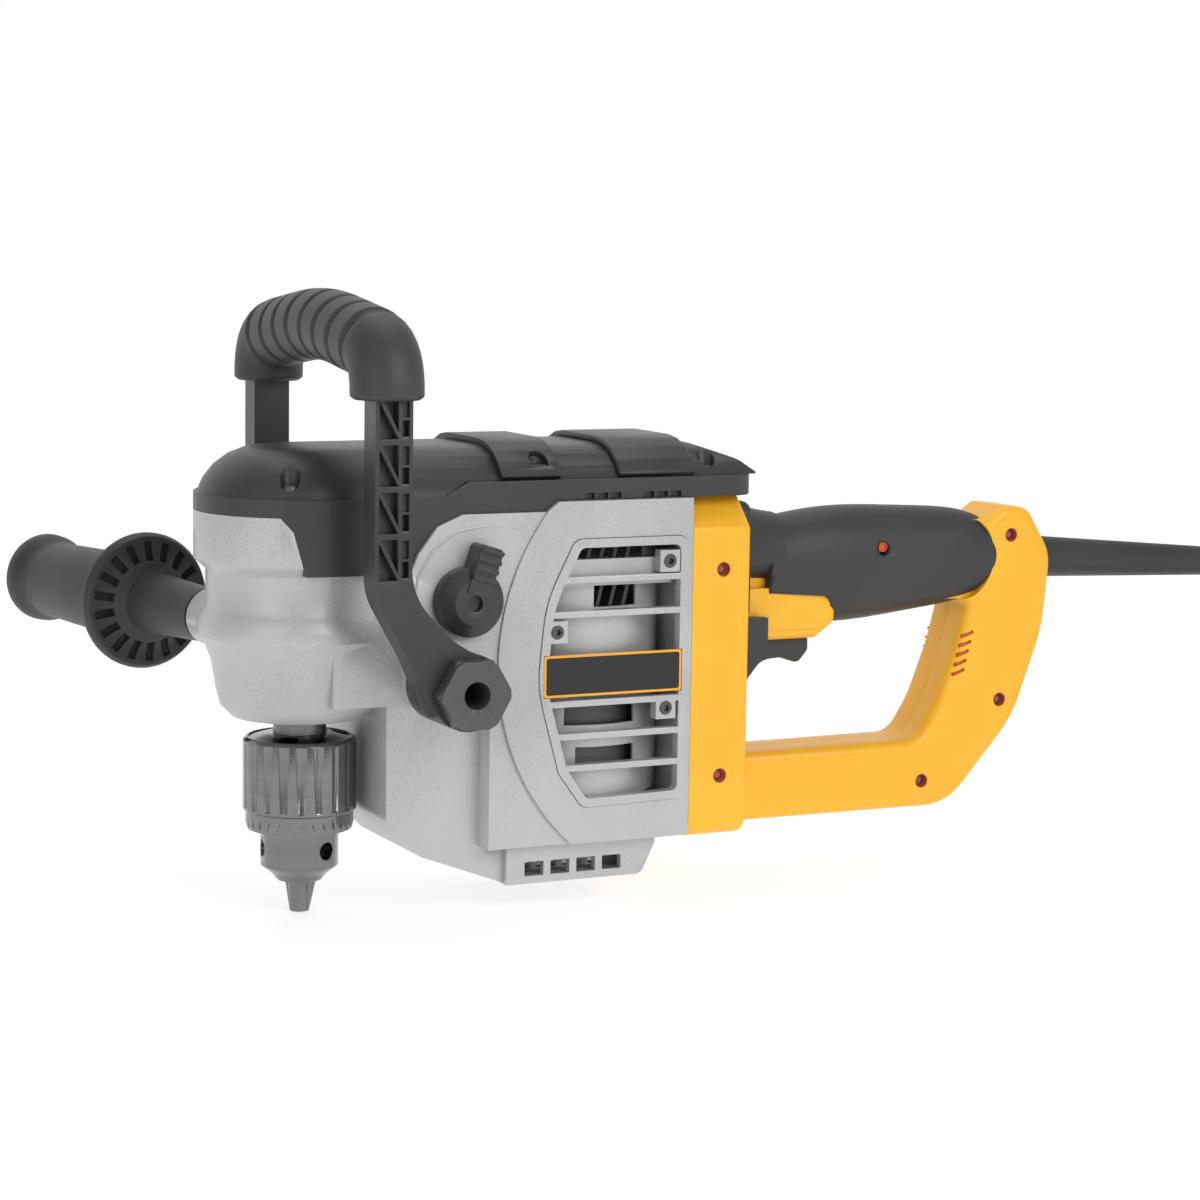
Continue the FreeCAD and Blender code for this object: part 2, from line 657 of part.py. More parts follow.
# ---------------------------------------------------------------- bail handle
def bent_line(corners):
    """An open line in YZ through corners; a corner with a third number is rounded by it."""
    edges = []
    last = Vector(0, *corners[0][:2])
    for i in range(1, len(corners) - 1):
        here = Vector(0, *corners[i][:2])
        into = here - Vector(0, *corners[i - 1][:2])
        out = Vector(0, *corners[i + 1][:2]) - here
        half_turn = into.getAngle(out) / 2
        into.normalize()
        out.normalize()
        radius = corners[i][2]
        back = radius * math.tan(half_turn)
        inward = (out - into).normalize()
        bulge = here + inward * (radius / math.cos(half_turn) - radius)
        edges.append(Part.LineSegment(last, here - into * back).toShape())
        edges.append(Part.Arc(here - into * back, bulge, here + out * back).toShape())
        last = here + out * back
    edges.append(Part.LineSegment(last, Vector(0, *corners[-1][:2])).toShape())
    return Part.Wire(edges)


def bail_path():
    """The middle line of the bail's bar: up one leg, over in a low arch, down the other."""
    leg_y, arch_z = size("bail_y") - 2, size("bail_top_z")
    wire = bent_line([
        (-leg_y, arch_z - 28), (-leg_y, arch_z - 7, 20), (0, arch_z + 2.4, 180),
        (leg_y, arch_z - 7, 20), (leg_y, arch_z - 28),
    ])
    wire.translate(Vector(size("bail_x"), 0, 0))
    return wire


def bail_tube(radius):
    """A round bar of some radius along the bail's bar."""
    foot = Vector(size("bail_x"), -(size("bail_y") - 2), size("bail_top_z") - 28)
    circle = Part.Wire(Part.Circle(foot, Vector(0, 0, 1), radius).toShape())
    return bail_path().makePipeShell([circle], True, False, 2)


def bail_leg():
    """The right leg of the bail: an upright with a truss of pockets, bent back to its pivot eye."""
    x, z = size("pivot_x"), size("pivot_z")
    half = size("bail_leg_w") / 2
    low_x, high_x = size("bail_x") - half, size("bail_x") + half
    inner = size("bail_y") - size("bail_thick") / 2
    outer = size("bail_y") + size("bail_thick") / 2
    side = [
        (low_x, 239), (low_x, 152, 30), (19, 124, 25), (30, z - 10), (x, z), (x + 5, z + 15), (39, 132, 30),
        (high_x, 152, 30), (high_x, 239),
    ]
    leg = slab(side, inner, outer).fuse(drill(17, (x, 51.7, z), (x, outer, z)))
    depth = 5.0
    for low in (158, 178, 198, 218):
        floor = outer - depth
        truss = [(low_x + 1.8, low + 1), (low_x + 10.5, low + 1), (low_x + 1.8, low + 17)]
        other = [(low_x + 3, low + 18.5), (low_x + 10.5, low + 18.5), (low_x + 10.5, low + 4)]
        leg = leg.cut(slab(truss, floor, outer + 1)).cut(slab(other, floor, outer + 1))
        leg = leg.cut(block((low_x + 12.2, floor, low + 2), (high_x - 1.6, outer + 1, low + 9)))
        leg = leg.cut(block((low_x + 12.2, floor + 2.5, low + 10), (high_x - 1.6, outer + 1, low + 18)))
    return leg.cut(drill(size("pivot_r") + size("shaft_gap"), (x, 40, z), (x, 100, z)))


def bail_frame():
    """The bail as its welded parts: the bar, and an upright, a foot and a pivot eye for each leg."""
    leg = bail_leg()
    joint_z = 150
    upright = leg.common(block((-10, 40, joint_z), (80, 100, 250)))
    low = leg.common(block((-10, 40, 80), (80, 100, joint_z)))
    eye = drill(17, (size("pivot_x"), 50, size("pivot_z")), (size("pivot_x"), 90, size("pivot_z")))
    bar = bail_tube(size("bail_bar_r")).cut(both_sides(leg))
    return Part.makeCompound([bar] + [both_sides(part) for part in (upright, low.cut(eye), low.common(eye))])


def bail_grip():
    """The rubber sleeve on the bail's bar."""
    return bail_tube(size("bail_grip_r")).cut(bail_tube(size("bail_bar_r"))).cut(both_sides(bail_leg()))


def pivot_bolt():
    """A bail pivot bolt: a hexagon head on a shank, threaded through for the side handle."""
    x, z = size("pivot_x"), size("pivot_z")
    head = Part.makePolygon([
        Vector(x + 17 * math.cos(math.radians(a)), 82.8, z + 17 * math.sin(math.radians(a)))
        for a in range(0, 361, 60)
    ])
    head = Part.Face(head).extrude(Vector(0, 8.5, 0))
    dome_cut = drill(15.9, (x, 82.7, z), (x, 92, z))
    head = head.common(dome_cut.fuse(block((x - 20, 82.7, z - 20), (x + 20, 88.8, z + 20))))
    shank = drill(size("pivot_r"), (x, 38.5, z), (x, 84, z))
    bolt = head.fuse(shank).cut(drill(size("stud_r") + size("shaft_gap"), (x, 45, z), (x, 95, z)))
    return bolt.removeSplitter()


# ---------------------------------------------------------------- side handle
SIDE_GRIP = (
    (58.5, 12.5), (112, 14.5), (116, 24), (117, 31), (119.5, 32.5), (122, 32.5), (123.5, 30), (126, 20),
    (132, 18.6), (172, 19.6), (214, 18.6), (221, 21.6), (226, 21.8), (229.5, 19), (230, 0),
)


def along_side_axis(shape):
    """Put a shape made along Z on the side handle's axis."""
    start = side_axis(0)
    direction = side_axis(1) - start
    shape.Placement = Placement(start, Rotation(Vector(0, 0, 1), direction)).multiply(shape.Placement)
    return shape


def side_grip():
    """The side handle's grip with its guard, bored for the stud."""
    profile = [(0, 58.5)] + [(r, z) for z, r in SIDE_GRIP]
    body = lathe(profile)
    body = body.cut(Part.makeCylinder(size("stud_r") + size("shaft_gap"), 120, Vector(0, 0, 50)))
    pocket = block((19.5, -2.0, 114), (28.5, 2.0, 121))
    pocket = pocket.cut(lathe([(0, 119), (60, 119), (60, 140), (0, 140)]))
    for step in range(18):
        turned_pocket = pocket.copy()
        turned_pocket.rotate(Vector(0, 0, 0), Vector(0, 0, 1), 20 * step)
        body = body.cut(turned_pocket)
    return along_side_axis(body)


# ---------------------------------------------------------------- speed change
def shift_lever():
    """The shift lever: knob, ribbed arm, and the shaft with the crank pin that moves the fork."""
    x, z, radius = size("knob_x"), size("knob_z"), size("knob_r")
    face = size("side_y")
    knob = drill(radius, (x, -face - 0.4, z), (x, -face - 7, z)).fuse(
        Part.makeCone(radius, 9.5, 4.5, Vector(x, -face - 7, z), Vector(0, -1, 0)))
    knob = knob.cut(drill(3.6, (x, -face - 8, z), (x, -face - 20, z)))
    arm = slab([(-5.4, 4), (5.4, 4), (5.4, 26, 2), (-5.4, 26, 2)], -face - 12.5, -face - 1)
    arm = arm.fuse([block((-5.4, -face - 14, 10.5 + 4.2 * i), (5.4, -face - 12, 12.5 + 4.2 * i)) for i in range(4)])
    arm.rotate(Vector(0, 0, 0), Vector(0, 1, 0), 18)
    arm.translate(Vector(x, 0, z))
    shaft = drill(5.0, (x, -face + 0.5 - 1, z), (x, -38.5, z))
    shaft = shaft.fuse(drill(4.2, (x, -38.6, z), (x, -28, z)))
    return knob.fuse([arm, shaft]).removeSplitter()


def shift_fork():
    """The fork that rides in the collar's groove and slides on its own guide."""
    x, z = size("second_x"), 136.0
    prongs = Part.makeCylinder(14.5, 2.6, Vector(x, 0, z - 1.3))
    prongs = prongs.cut(Part.makeCylinder(9.2, 4, Vector(x, 0, z - 2)))
    prongs = prongs.cut(block((x - 20, 0.5, z - 3), (x + 20, 20, z + 3)))
    arm = block((x - 4, -27.0, z - 1.3), (x + 4, -11, z + 1.3))
    return prongs.fuse(arm).removeSplitter()


def shift_collar():
    """The sliding collar with its groove and its dogs."""
    x, low, high = size("second_x"), 131.3, 140.6
    groove_z = 136.0
    profile = [
        (size("second_r") + size("shaft_gap"), low), (12, low), (12, groove_z - 1.6), (8.9, groove_z - 1.6),
        (8.9, groove_z + 1.6), (12, groove_z + 1.6), (12, high), (size("second_r") + size("shaft_gap"), high),
    ]
    return lathe(profile, (x, 0))


# ---------------------------------------------------------------- gears
PRESSURE = math.radians(20)


def involute(angle):
    """The involute function."""
    return math.tan(angle) - angle


def gear(module, teeth, low_z, high_z, centre_x, tooth_at, bore, addendum=0.85, dedendum=1.15, backlash=0.16):
    """A spur gear with a tooth, or with a gap if tooth_at is 'gap', on the side that faces its mate."""
    pitch_r = module * teeth / 2
    base_r = pitch_r * math.cos(PRESSURE)
    tip_r, root_r = pitch_r + addendum * module, pitch_r - dedendum * module
    half_tooth = (math.pi * module / 2 - backlash) / (2 * pitch_r)
    start = math.pi if tooth_at == "tooth" else math.pi / teeth
    radii = [root_r] + [max(base_r, root_r + 0.05) + f * (tip_r - max(base_r, root_r + 0.05)) for f in (0, 0.5, 1)]
    flank = []
    for radius in radii:
        pressure = math.acos(min(1.0, base_r / max(radius, base_r)))
        flank.append((radius, half_tooth + involute(PRESSURE) - involute(pressure)))
    points = []
    for tooth in range(teeth):
        middle = start + 2 * math.pi * tooth / teeth
        for radius, half in flank:
            points.append(Vector(radius * math.cos(middle - half), radius * math.sin(middle - half), low_z))
        for radius, half in reversed(flank):
            points.append(Vector(radius * math.cos(middle + half), radius * math.sin(middle + half), low_z))
    solid = Part.Face(Part.makePolygon(points + points[:1])).extrude(Vector(0, 0, high_z - low_z))
    solid = solid.cut(Part.makeCylinder(bore, high_z - low_z, Vector(0, 0, low_z)))
    solid.translate(Vector(centre_x, 0, 0))
    return solid


def webbed(wheel, low_z, high_z, centre_x, inner, outer):
    """A gear wheel with both faces recessed between hub and rim."""
    for bottom, top in ((low_z - 1, low_z + 2.5), (high_z - 2.5, high_z + 1)):
        recess = Part.makeCylinder(outer, top - bottom, Vector(centre_x, 0, bottom))
        wheel = wheel.cut(recess.cut(Part.makeCylinder(inner, top - bottom, Vector(centre_x, 0, bottom))))
    return wheel


# ---------------------------------------------------------------- chuck
TILT = math.radians(size("jaw_tilt"))


def jaw_cylinder(radius, low_z, high_z):
    """A slanted cylinder on the first jaw's axis, between two heights of that axis."""
    return drill(radius, (low_z * math.tan(TILT), 0, low_z), (high_z * math.tan(TILT), 0, high_z))


def around(shape, step, count=3):
    """Copies of a shape turned about the spindle."""
    copies = []
    for index in range(count):
        copy = shape.copy()
        copy.rotate(Vector(0, 0, 0), Vector(0, 0, 1), step * index)
        copies.append(copy)
    return copies


def jaw(index):
    """One chuck jaw: a slanted pin with its two gripping flats, cut level at the tip."""
    top = size("jaw_top_z")
    pin = jaw_cylinder(size("jaw_r"), -8, top - 1.0)
    gap = 0.08
    wedge = Part.Face(Part.makePolygon([
        Vector(gap, 0, 0), Vector(30, 30 * math.tan(math.radians(59.5)), 0),
        Vector(30, -30 * math.tan(math.radians(59.5)), 0), Vector(gap, 0, 0),
    ])).extrude(Vector(0, 0, 80))
    solid = pin.common(wedge)
    solid.rotate(Vector(0, 0, 0), Vector(0, 0, 1), 120 * index + JAW_START)
    return solid


JAW_START = -6.0


def chuck_body():
    """The chuck body: nose, slanted jaw bores, key pilot holes, nut groove and spindle socket."""
    nose, fit = size("chuck_nose_r"), size("sleeve_r") - 2.5 - size("shaft_gap")
    profile = [
        (0, 14.6), (10.2, 14.6), (12.4, 17.4), (nose, 21.5), (nose, 37.6), (21.6, 38.6), (fit, 40.2),
        (13.7, 40.2), (13.7, 48.2), (fit, 48.2), (fit, 79.5), (15, 81.6), (0, 81.6),
    ]
    body = lathe(profile)
    tools = around(jaw_cylinder(size("jaw_r") + 0.09, -8, 82), 120)
    for tool in tools:
        tool.rotate(Vector(0, 0, 0), Vector(0, 0, 1), JAW_START)
        body = body.cut(tool)
    key = drill(size("key_r"), (9.6, 0, size("key_z")), (30, 0, size("key_z")))
    for tool in around(key, 120):
        tool.rotate(Vector(0, 0, 0), Vector(0, 0, 1), JAW_START + 60)
        body = body.cut(tool)
    return body.cut(Part.makeCylinder(7.0, 30, Vector(0, 0, 54)))


def chuck_sleeve():
    """The fluted sleeve with the toothed crown that the key turns."""
    outer, low, high = size("sleeve_r"), size("sleeve_low_z"), size("sleeve_high_z")
    inner = outer - 2.5
    profile = [
        (inner, low + 0.3), (outer - 2.0, low), (outer - 1.2, low + 3), (outer - 1.2, low + 8.2),
        (outer, low + 9), (outer, high - 1.5), (outer - 1.5, high), (inner, high),
    ]
    sleeve = lathe(profile)
    flute = Part.makeCylinder(3.4, 29.0, Vector(outer + 2.9, 0, low + 10.5))
    tooth_gap = Part.Face(Part.makePolygon([
        Vector(30, 1.7, low - 1), Vector(30, -1.7, low - 1), Vector(30, 0, low + 5.6), Vector(30, 1.7, low - 1),
    ])).extrude(Vector(-6.3, 0, 0))
    sleeve = sleeve.cut(Part.makeCompound(around(flute, 18, 20)))
    return sleeve.cut(Part.makeCompound(around(tooth_gap, 12, 30)))


def chuck_nut():
    """The nut inside the sleeve that drives the jaws."""
    inner = [(z * math.tan(TILT) + (size("jaw_r") + 0.3) / math.cos(TILT), z) for z in (40.6, 47.8)]
    return lathe([inner[0], (size("sleeve_r") - 2.5, 40.6), (size("sleeve_r") - 2.5, 47.8), inner[1]])


# ---------------------------------------------------------------- mains lead
def unit(angle):
    """A direction in XZ, angle degrees above +X."""
    return Vector(math.cos(math.radians(angle)), 0, math.sin(math.radians(angle)))


BOOT_START = Vector(391.0, 0, 146.8)
BOOT_END = BOOT_START + unit(-math.degrees(BOOT_ANGLE)) * size("boot_run")

# the lead's route from the strain relief down to the floor, where the coil begins
LEAD_ROUTE = (
    (BOOT_END.x, BOOT_END.z), (537.0, 138.0), (563.5, 129.0), (585.5, 110.0), (598.5, 84.0), (600.5, 55.0),
    (590.0, 28.5), (569.5, 10.5), (545.0, 4.5),
)


def rounded_path(points, share=0.45):
    """Straight runs joined by tangent arcs, as large as the runs allow."""
    edges = []
    radii = []
    last = points[0]
    for before, corner, after in zip(points, points[1:], points[2:]):
        into, out = corner - before, after - corner
        half_turn = into.getAngle(out) / 2
        back = share * min(into.Length, out.Length)
        radii.append(back / math.tan(half_turn))
        into.normalize()
        out.normalize()
        start, end = corner - into * back, corner + out * back
        inward = out - into
        inward.normalize()
        bulge = corner + inward * (radii[-1] / math.cos(half_turn) - radii[-1])
        edges.append(Part.LineSegment(last, start).toShape())
        edges.append(Part.Arc(start, bulge, end).toShape())
        last = end
    edges.append(Part.LineSegment(last, points[-1]).toShape())
    return Part.Wire(edges), radii


def lead_tube(name, points):
    """A round tube along a route, with its radii and its volume reported."""
    wire, radii = rounded_path(points)
    section = Part.Wire(Part.Circle(points[0], points[1] - points[0], size("lead_r")).toShape())
    tube = wire.makePipeShell([section], True, False, 2)
    expected = math.pi * size("lead_r") ** 2 * wire.Length
    print(name, "radii", [round(r) for r in radii], "length", round(wire.Length, 1),
          "volume ratio", round(tube.Volume / expected, 4))
    return tube


def plug_tail():
    """The short end of the lead from the coil to the plug."""
    south = size("coil_y") - size("coil_turn_r")
    return [Vector(545, south, 13.5), Vector(557, south - 0.5, 13.6), Vector(569, south - 2.5, 14.0),
            Vector(580, south - 6.0, 14.0)]


# ---------------------------------------------------------------- the assembly
def build_casing():
    """Castings, covers and grilles."""
    keep(feature("gear_case", gear_case()), "gear_case")
    keep(feature("upper_housing", upper_housing()), "upper_housing")
    keep(feature("top_cover", top_cover()), "top_cover")
    keep(feature("motor_housing", motor_housing()), "motor_housing")
    keep(feature("vent_cage", vent_cage()), "vent_cage")
    keep(feature("bearing_plate", bearing_plate()), "bearing_plate")
    keep(feature("motor_bracket", motor_bracket()), "motor_bracket")
    badges = []
    for sign, side in ((-1, "left"), (1, "right")):
        keep(feature(f"{side}_grille", grille(sign)), f"{side}_grille")
        low_y = "motor_y - 0.6" if sign > 0 else "-motor_y - 0.4"
        badges.append(box(f"{side}_badge", (69.0, 1.0, 19.0), (97.25, low_y, 98.75)))
    keep(group("badge_plates", badges), "badge_plates")


def build_handle():
    """The rear handle with its trigger, switch and reversing lever."""
    for sign, side in ((-1, "left"), (1, "right")):
        keep(feature(f"{side}_handle_half", handle_half(sign)), f"{side}_handle_half")
    keep(feature("handle_grip", handle_grip()), "handle_grip")
    keep(feature("trigger", trigger()), "trigger")
    keep(feature("reversing_lever", reversing_lever()), "reversing_lever")
    keep(box("switch_body", (36.0, 18.0, 24.0), (225.0, -9.0, 128.2)), "switch_body")
    keep(cylinder("trigger_spring", 3.0, 9.2, (246.0, 0.0, 118.8)), "trigger_spring")


def build_bail():
    """The bail handle and its pivot bolts."""
    keep(feature("bail_frame", bail_frame()), "bail_frame")
    keep(feature("bail_grip", bail_grip()), "bail_grip")
    keep(feature("pivot_bolts", both_sides(pivot_bolt())), "pivot_bolts")


def build_side_handle():
    """The side handle's grip and its threaded stud."""
    keep(feature("side_grip", side_grip()), "side_grip")
    stud = Part.makeCylinder(size("stud_r"), 120.0, Vector(0, 0, 39.0))
    keep(feature("side_stud", along_side_axis(stud)), "side_stud")


def build_speed_change():
    """Shift lever, fork and collar."""
    keep(feature("shift_lever", shift_lever()), "shift_lever")
    keep(feature("shift_fork", shift_fork()), "shift_fork")
    keep(feature("shift_collar", shift_collar()), "shift_collar")


def build_gears():
    """The gear train from the armature's pinion to the spindle, with its shafts and bearings."""
    gap = size("shaft_gap")
    keep(turned("spindle", [
        (0, 56), (6.9, 56), (6.9, 81.8), ("nose_r", 81.8), ("nose_r", 95.9), (10, 96.0), (10, 116.0),
        (13, 116.2), (13, 117.9), (10, 118), (10, 158), ("spindle_r", 158.2), ("spindle_r", 193), (0, 193),
    ]), "spindle")
    low_wheel = gear(2.0, 34, 118, 131, 0, "gap", 10)
    keep(feature("spindle_low_gear", webbed(low_wheel, 118, 131, 0, 15, 29)), "spindle_low_gear")
    keep(feature("spindle_high_gear", gear(2.0, 22, 147, 157, 0, "gap", 10)), "spindle_high_gear")
    spindle_bearings = [
        ring("spindle_bearing_low", 20, 10.06, 9.8, (0.0, 0.0, 96.1)),
        ring("spindle_bearing_high", 15, "spindle_r + shaft_gap", 5.8, (0.0, 0.0, 187.1)),
    ]
    keep(group("spindle_bearings", spindle_bearings), "spindle_bearings")
    keep(ring("spindle_seal", 14, 12.06, 4.0, (0.0, 0.0, 91.0)), "spindle_seal")
    keep(feature("second_shaft", lathe([(0, 98.2), (7, 98.2), (7, 192.8), (0, 192.8)], (size("second_x"), 0))),
         "second_shaft")
    keep(feature("second_low_pinion", gear(2.0, 14, 118, 131, size("second_x"), "tooth", 7)), "second_low_pinion")
    keep(feature("second_high_gear", gear(2.0, 26, 147, 157, size("second_x"), "tooth", 7 + gap)),
         "second_high_gear")
    wheel = gear(1.5, 46, 162, 173, size("second_x"), "gap", 7)
    keep(feature("second_driven_gear", webbed(wheel, 162, 173, size("second_x"), 12, 29)), "second_driven_gear")
    second = [ring(f"second_bearing_{i}", 11, 7 + gap, 5.8, ("second_x", 0.0, z)) for i, z in enumerate((98.1, 187.1))]
    stem = lathe([(0, 152.3), (5, 152.3), (5, 192.8), (0, 192.8)], (size("first_x"), 0))
    pinion = gear(1.5, 12, 161.5, 173.5, size("first_x"), "tooth", 1)
    keep(feature("first_shaft", stem.fuse(pinion).removeSplitter()), "first_shaft")
    wheel = gear(1.25, 52, 175.5, 185.5, size("first_x"), "gap", 5, addendum=0.6)
    keep(feature("first_gear", webbed(wheel, 175.5, 185.5, size("first_x"), 12, 27)), "first_gear")
    first = [ring(f"first_bearing_{i}", 9, 5 + gap, 5.8, ("first_x", 0.0, z)) for i, z in enumerate((152.2, 187.1))]
    keep(group("shaft_bearings", second + first), "shaft_bearings")


def build_motor():
    """The motor: armature, field, brushes and bearings."""
    x = size("motor_x")
    shaft = lathe([(0, 17.3), (5, 17.3), (5, 174), (4, 175), (0, 175)], (x, 0))
    pinion = gear(1.25, 9, 175, 186, x, "tooth", 0.5, addendum=0.95)
    pinion = pinion.fuse(Part.makeCylinder(1.0, 11, Vector(x, 0, 175)))
    keep(feature("armature_shaft", shaft.fuse(pinion).removeSplitter()), "armature_shaft")
    core = lathe([(5, 62), (24, 62), (24, 120), (5, 120)], (x, 0))
    slots = [drill_slot(x, 24.0, 62, 120, 360 / 12 * i) for i in range(12)]
    ends = [lathe([(5, z), (19, z), (21, z + 3), (19, z + 7), (5, z + 7)], (x, 0)) for z in (55.0, 120.0)]
    wound_core = core.cut(Part.makeCompound(slots)).fuse(ends)
    keep(feature("armature_core", wound_core.removeSplitter()), "armature_core")
    commutator = lathe([(5, 36), (13, 36), (13, 49), (15, 49), (15, 51), (5, 51)], (x, 0))
    notches = []
    for index in range(24):
        notch = block((x - 0.4, 12.3, 37), (x + 0.4, 14.0, 48))
        notch.rotate(Vector(x, 0, 0), Vector(0, 0, 1), 15 * index + 7.5)
        notches.append(notch)
    keep(feature("commutator", commutator.cut(Part.makeCompound(notches))), "commutator")
    keep(feature("motor_fan", motor_fan()), "motor_fan")
    stack = lathe([(25, 60), (38, 60), (38, 122), (25, 122)], (x, 0))
    keep(feature("field_stack", stack), "field_stack")
    coils = [lathe([(27, z), (36, z), (37, z + 4), (35, z + 8), (28, z + 8)], (x, 0)) for z in (52.0, 122.0)]
    keep(feature("field_coils", Part.makeCompound(coils)), "field_coils")
    bearings = [
        ring("armature_bearing_low", 11, "armature_r + shaft_gap", 7.0, ("motor_x", 0.0, 17.5)),
        ring("armature_bearing_high", 11, "armature_r + shaft_gap", 9.0, ("motor_x", 0.0, 149.0)),
    ]
    keep(group("armature_bearings", bearings), "armature_bearings")
    build_brushes(x)


def drill_slot(x, radius, low_z, high_z, angle):
    """One armature slot, open to the core's outside."""
    slot = block((x - 1.0, radius - 6, low_z), (x + 1.0, radius + 1, high_z))
    slot.rotate(Vector(x, 0, 0), Vector(0, 0, 1), angle)
    return slot


def motor_fan():
    """The cooling fan on the armature, a disc with blades."""
    x = size("motor_x")
    disc = lathe([(5, 134), (36, 134), (36, 136), (12, 136), (12, 145), (5, 145)], (x, 0))
    blades = []
    for index in range(15):
        blade = block((x - 0.8, 14, 135), (x + 0.8, 35, 144))
        blade.rotate(Vector(x, 14, 0), Vector(0, 0, 1), 24)
        blade.rotate(Vector(x, 0, 0), Vector(0, 0, 1), 24 * index)
        blades.append(blade)
    return disc.fuse(blades).removeSplitter()


def build_brushes(x):
    """Brushes, their holders and their springs on both sides of the commutator."""
    holder = block((x - 6, 17, 37), (x + 6, 44.8, 49)).cut(block((x - 4.1, 16, 38.9), (x + 4.1, 43.5, 47.1)))
    keep(feature("brush_holders", both_sides(holder)), "brush_holders")
    brush = block((x - 4, 13.35, 39), (x + 4, 27, 47))
    spring = drill(3.2, (x, 27.1, 43), (x, 43.4, 43))
    for sign, side in ((-1, "left"), (1, "right")):
        for node, shape in ((f"{side}_brush", brush), (f"{side}_brush_spring", spring)):
            keep(feature(node, shape if sign > 0 else mirrored(shape)), node)


def build_chuck():
    """The keyed chuck: body, sleeve, nut and three jaws."""
    keep(feature("chuck_body", chuck_body()), "chuck_body")
    keep(feature("chuck_sleeve", chuck_sleeve()), "chuck_sleeve")
    keep(feature("chuck_nut", chuck_nut()), "chuck_nut")
    for index in range(3):
        keep(feature(f"jaw_{index + 1}", jaw(index)), f"jaw_{index + 1}")


def build_lead():
    """Strain relief, mains lead, stored coil and plug."""
    direction = unit(-math.degrees(BOOT_ANGLE))
    cone = Part.makeCone(size("boot_root_r"), size("boot_tip_r"), size("boot_run"), BOOT_START, direction)
    root = Part.makeCylinder(7.9, 26.0, BOOT_START - direction * 25.5, direction)
    keep(feature("lead_boot", cone.fuse(root).removeSplitter()), "lead_boot")
    tail = plug_tail()
    main = lead_tube("lead", [Vector(x, 0, z) for x, z in LEAD_ROUTE])
    keep(feature("lead", Part.makeCompound([main, lead_tube("lead end", tail)])), "lead")
    x, y, radius = size("coil_x"), size("coil_y"), size("lead_r")
    inner, outer = size("coil_inner_r") - radius, size("coil_turn_r") + radius
    keep(feature("lead_coil", lathe([(inner, 0), (outer, 0), (outer, 4 * radius), (inner, 4 * radius)], (x, y))),
         "lead_coil")
    end = tail[-1]
    way = (end - tail[-2]).normalize()
    body = Part.makeCylinder(13.0, 34.0, Vector(0, 0, 12)).fuse(Part.makeCone(7.0, 13.0, 12.0))
    blades = [block((s * 6.35 - 0.75, -3.15, 45), (s * 6.35 + 0.75, 3.15, 63)) for s in (-1, 1)]
    whole = body.fuse(blades).removeSplitter()
    whole.Placement = Placement(end, Rotation(Vector(0, 0, 1), way))
    keep(feature("plug", whole), "plug")


def build_screws():
    """The casing's screws that can be seen: over the cover, in the grilles and in the handle."""
    face = size("motor_y") + 0.6
    screws = [Part.makeCylinder(3.6, 2.6, Vector(x, y, z)) for x, y, z in COVER_SCREWS]
    screws += [drill(3.1, (x, face - 2.5, z), (x, face - 0.7, z)) for x, z in GRILLE_SCREWS]
    for x, z in HANDLE_SCREWS:
        depth = 44 if x < 220 else size("handle_y") - 4
        screws.append(drill(3.5, (x, depth, z), (x, depth + 2.2, z)))
    keep(feature("case_screws", both_sides(Part.makeCompound(screws))), "case_screws")


def check_and_write():
    """Refuse anything failed, null or invalid, then write one STEP file a node."""
    doc.recompute()
    for item in doc.Objects:
        if "Invalid" in item.State or "Error" in item.State:
            raise RuntimeError(f"{item.Name} is {item.State}")
    names = [item.Label for item in NODES]
    if len(set(names)) != len(names) or len(names) > 60:
        raise RuntimeError(f"{len(names)} nodes, {len(set(names))} names")
    os.makedirs("parts", exist_ok=True)
    for item in NODES:
        if item.Shape.isNull() or not item.Shape.isValid():
            raise RuntimeError(f"{item.Label} has a bad shape")
        item.Shape.exportStep(f"parts/{item.Label}.step")
    print(len(NODES), "nodes written")


build_casing()
build_handle()
build_bail()
build_side_handle()
build_speed_change()
build_gears()
build_motor()
build_chuck()
build_lead()
build_screws()
check_and_write()
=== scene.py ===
"""Looks of a corded right-angle stud and joist drill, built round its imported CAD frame.

Frame: metres, +Z up, +X towards the rear handle, -Y the tool's left side. The origin is on
the spindle's axis at the tips of the closed jaws. Sizes in this file are in millimetres and
are turned into metres by mm() where a mesh is made.
"""
import json
import logging
import math
from collections.abc import Callable, Iterable, Sequence
from dataclasses import dataclass
from enum import Enum

import bmesh
import bpy
from mathutils import Euler, Matrix, Vector
from mathutils.geometry import tessellate_polygon

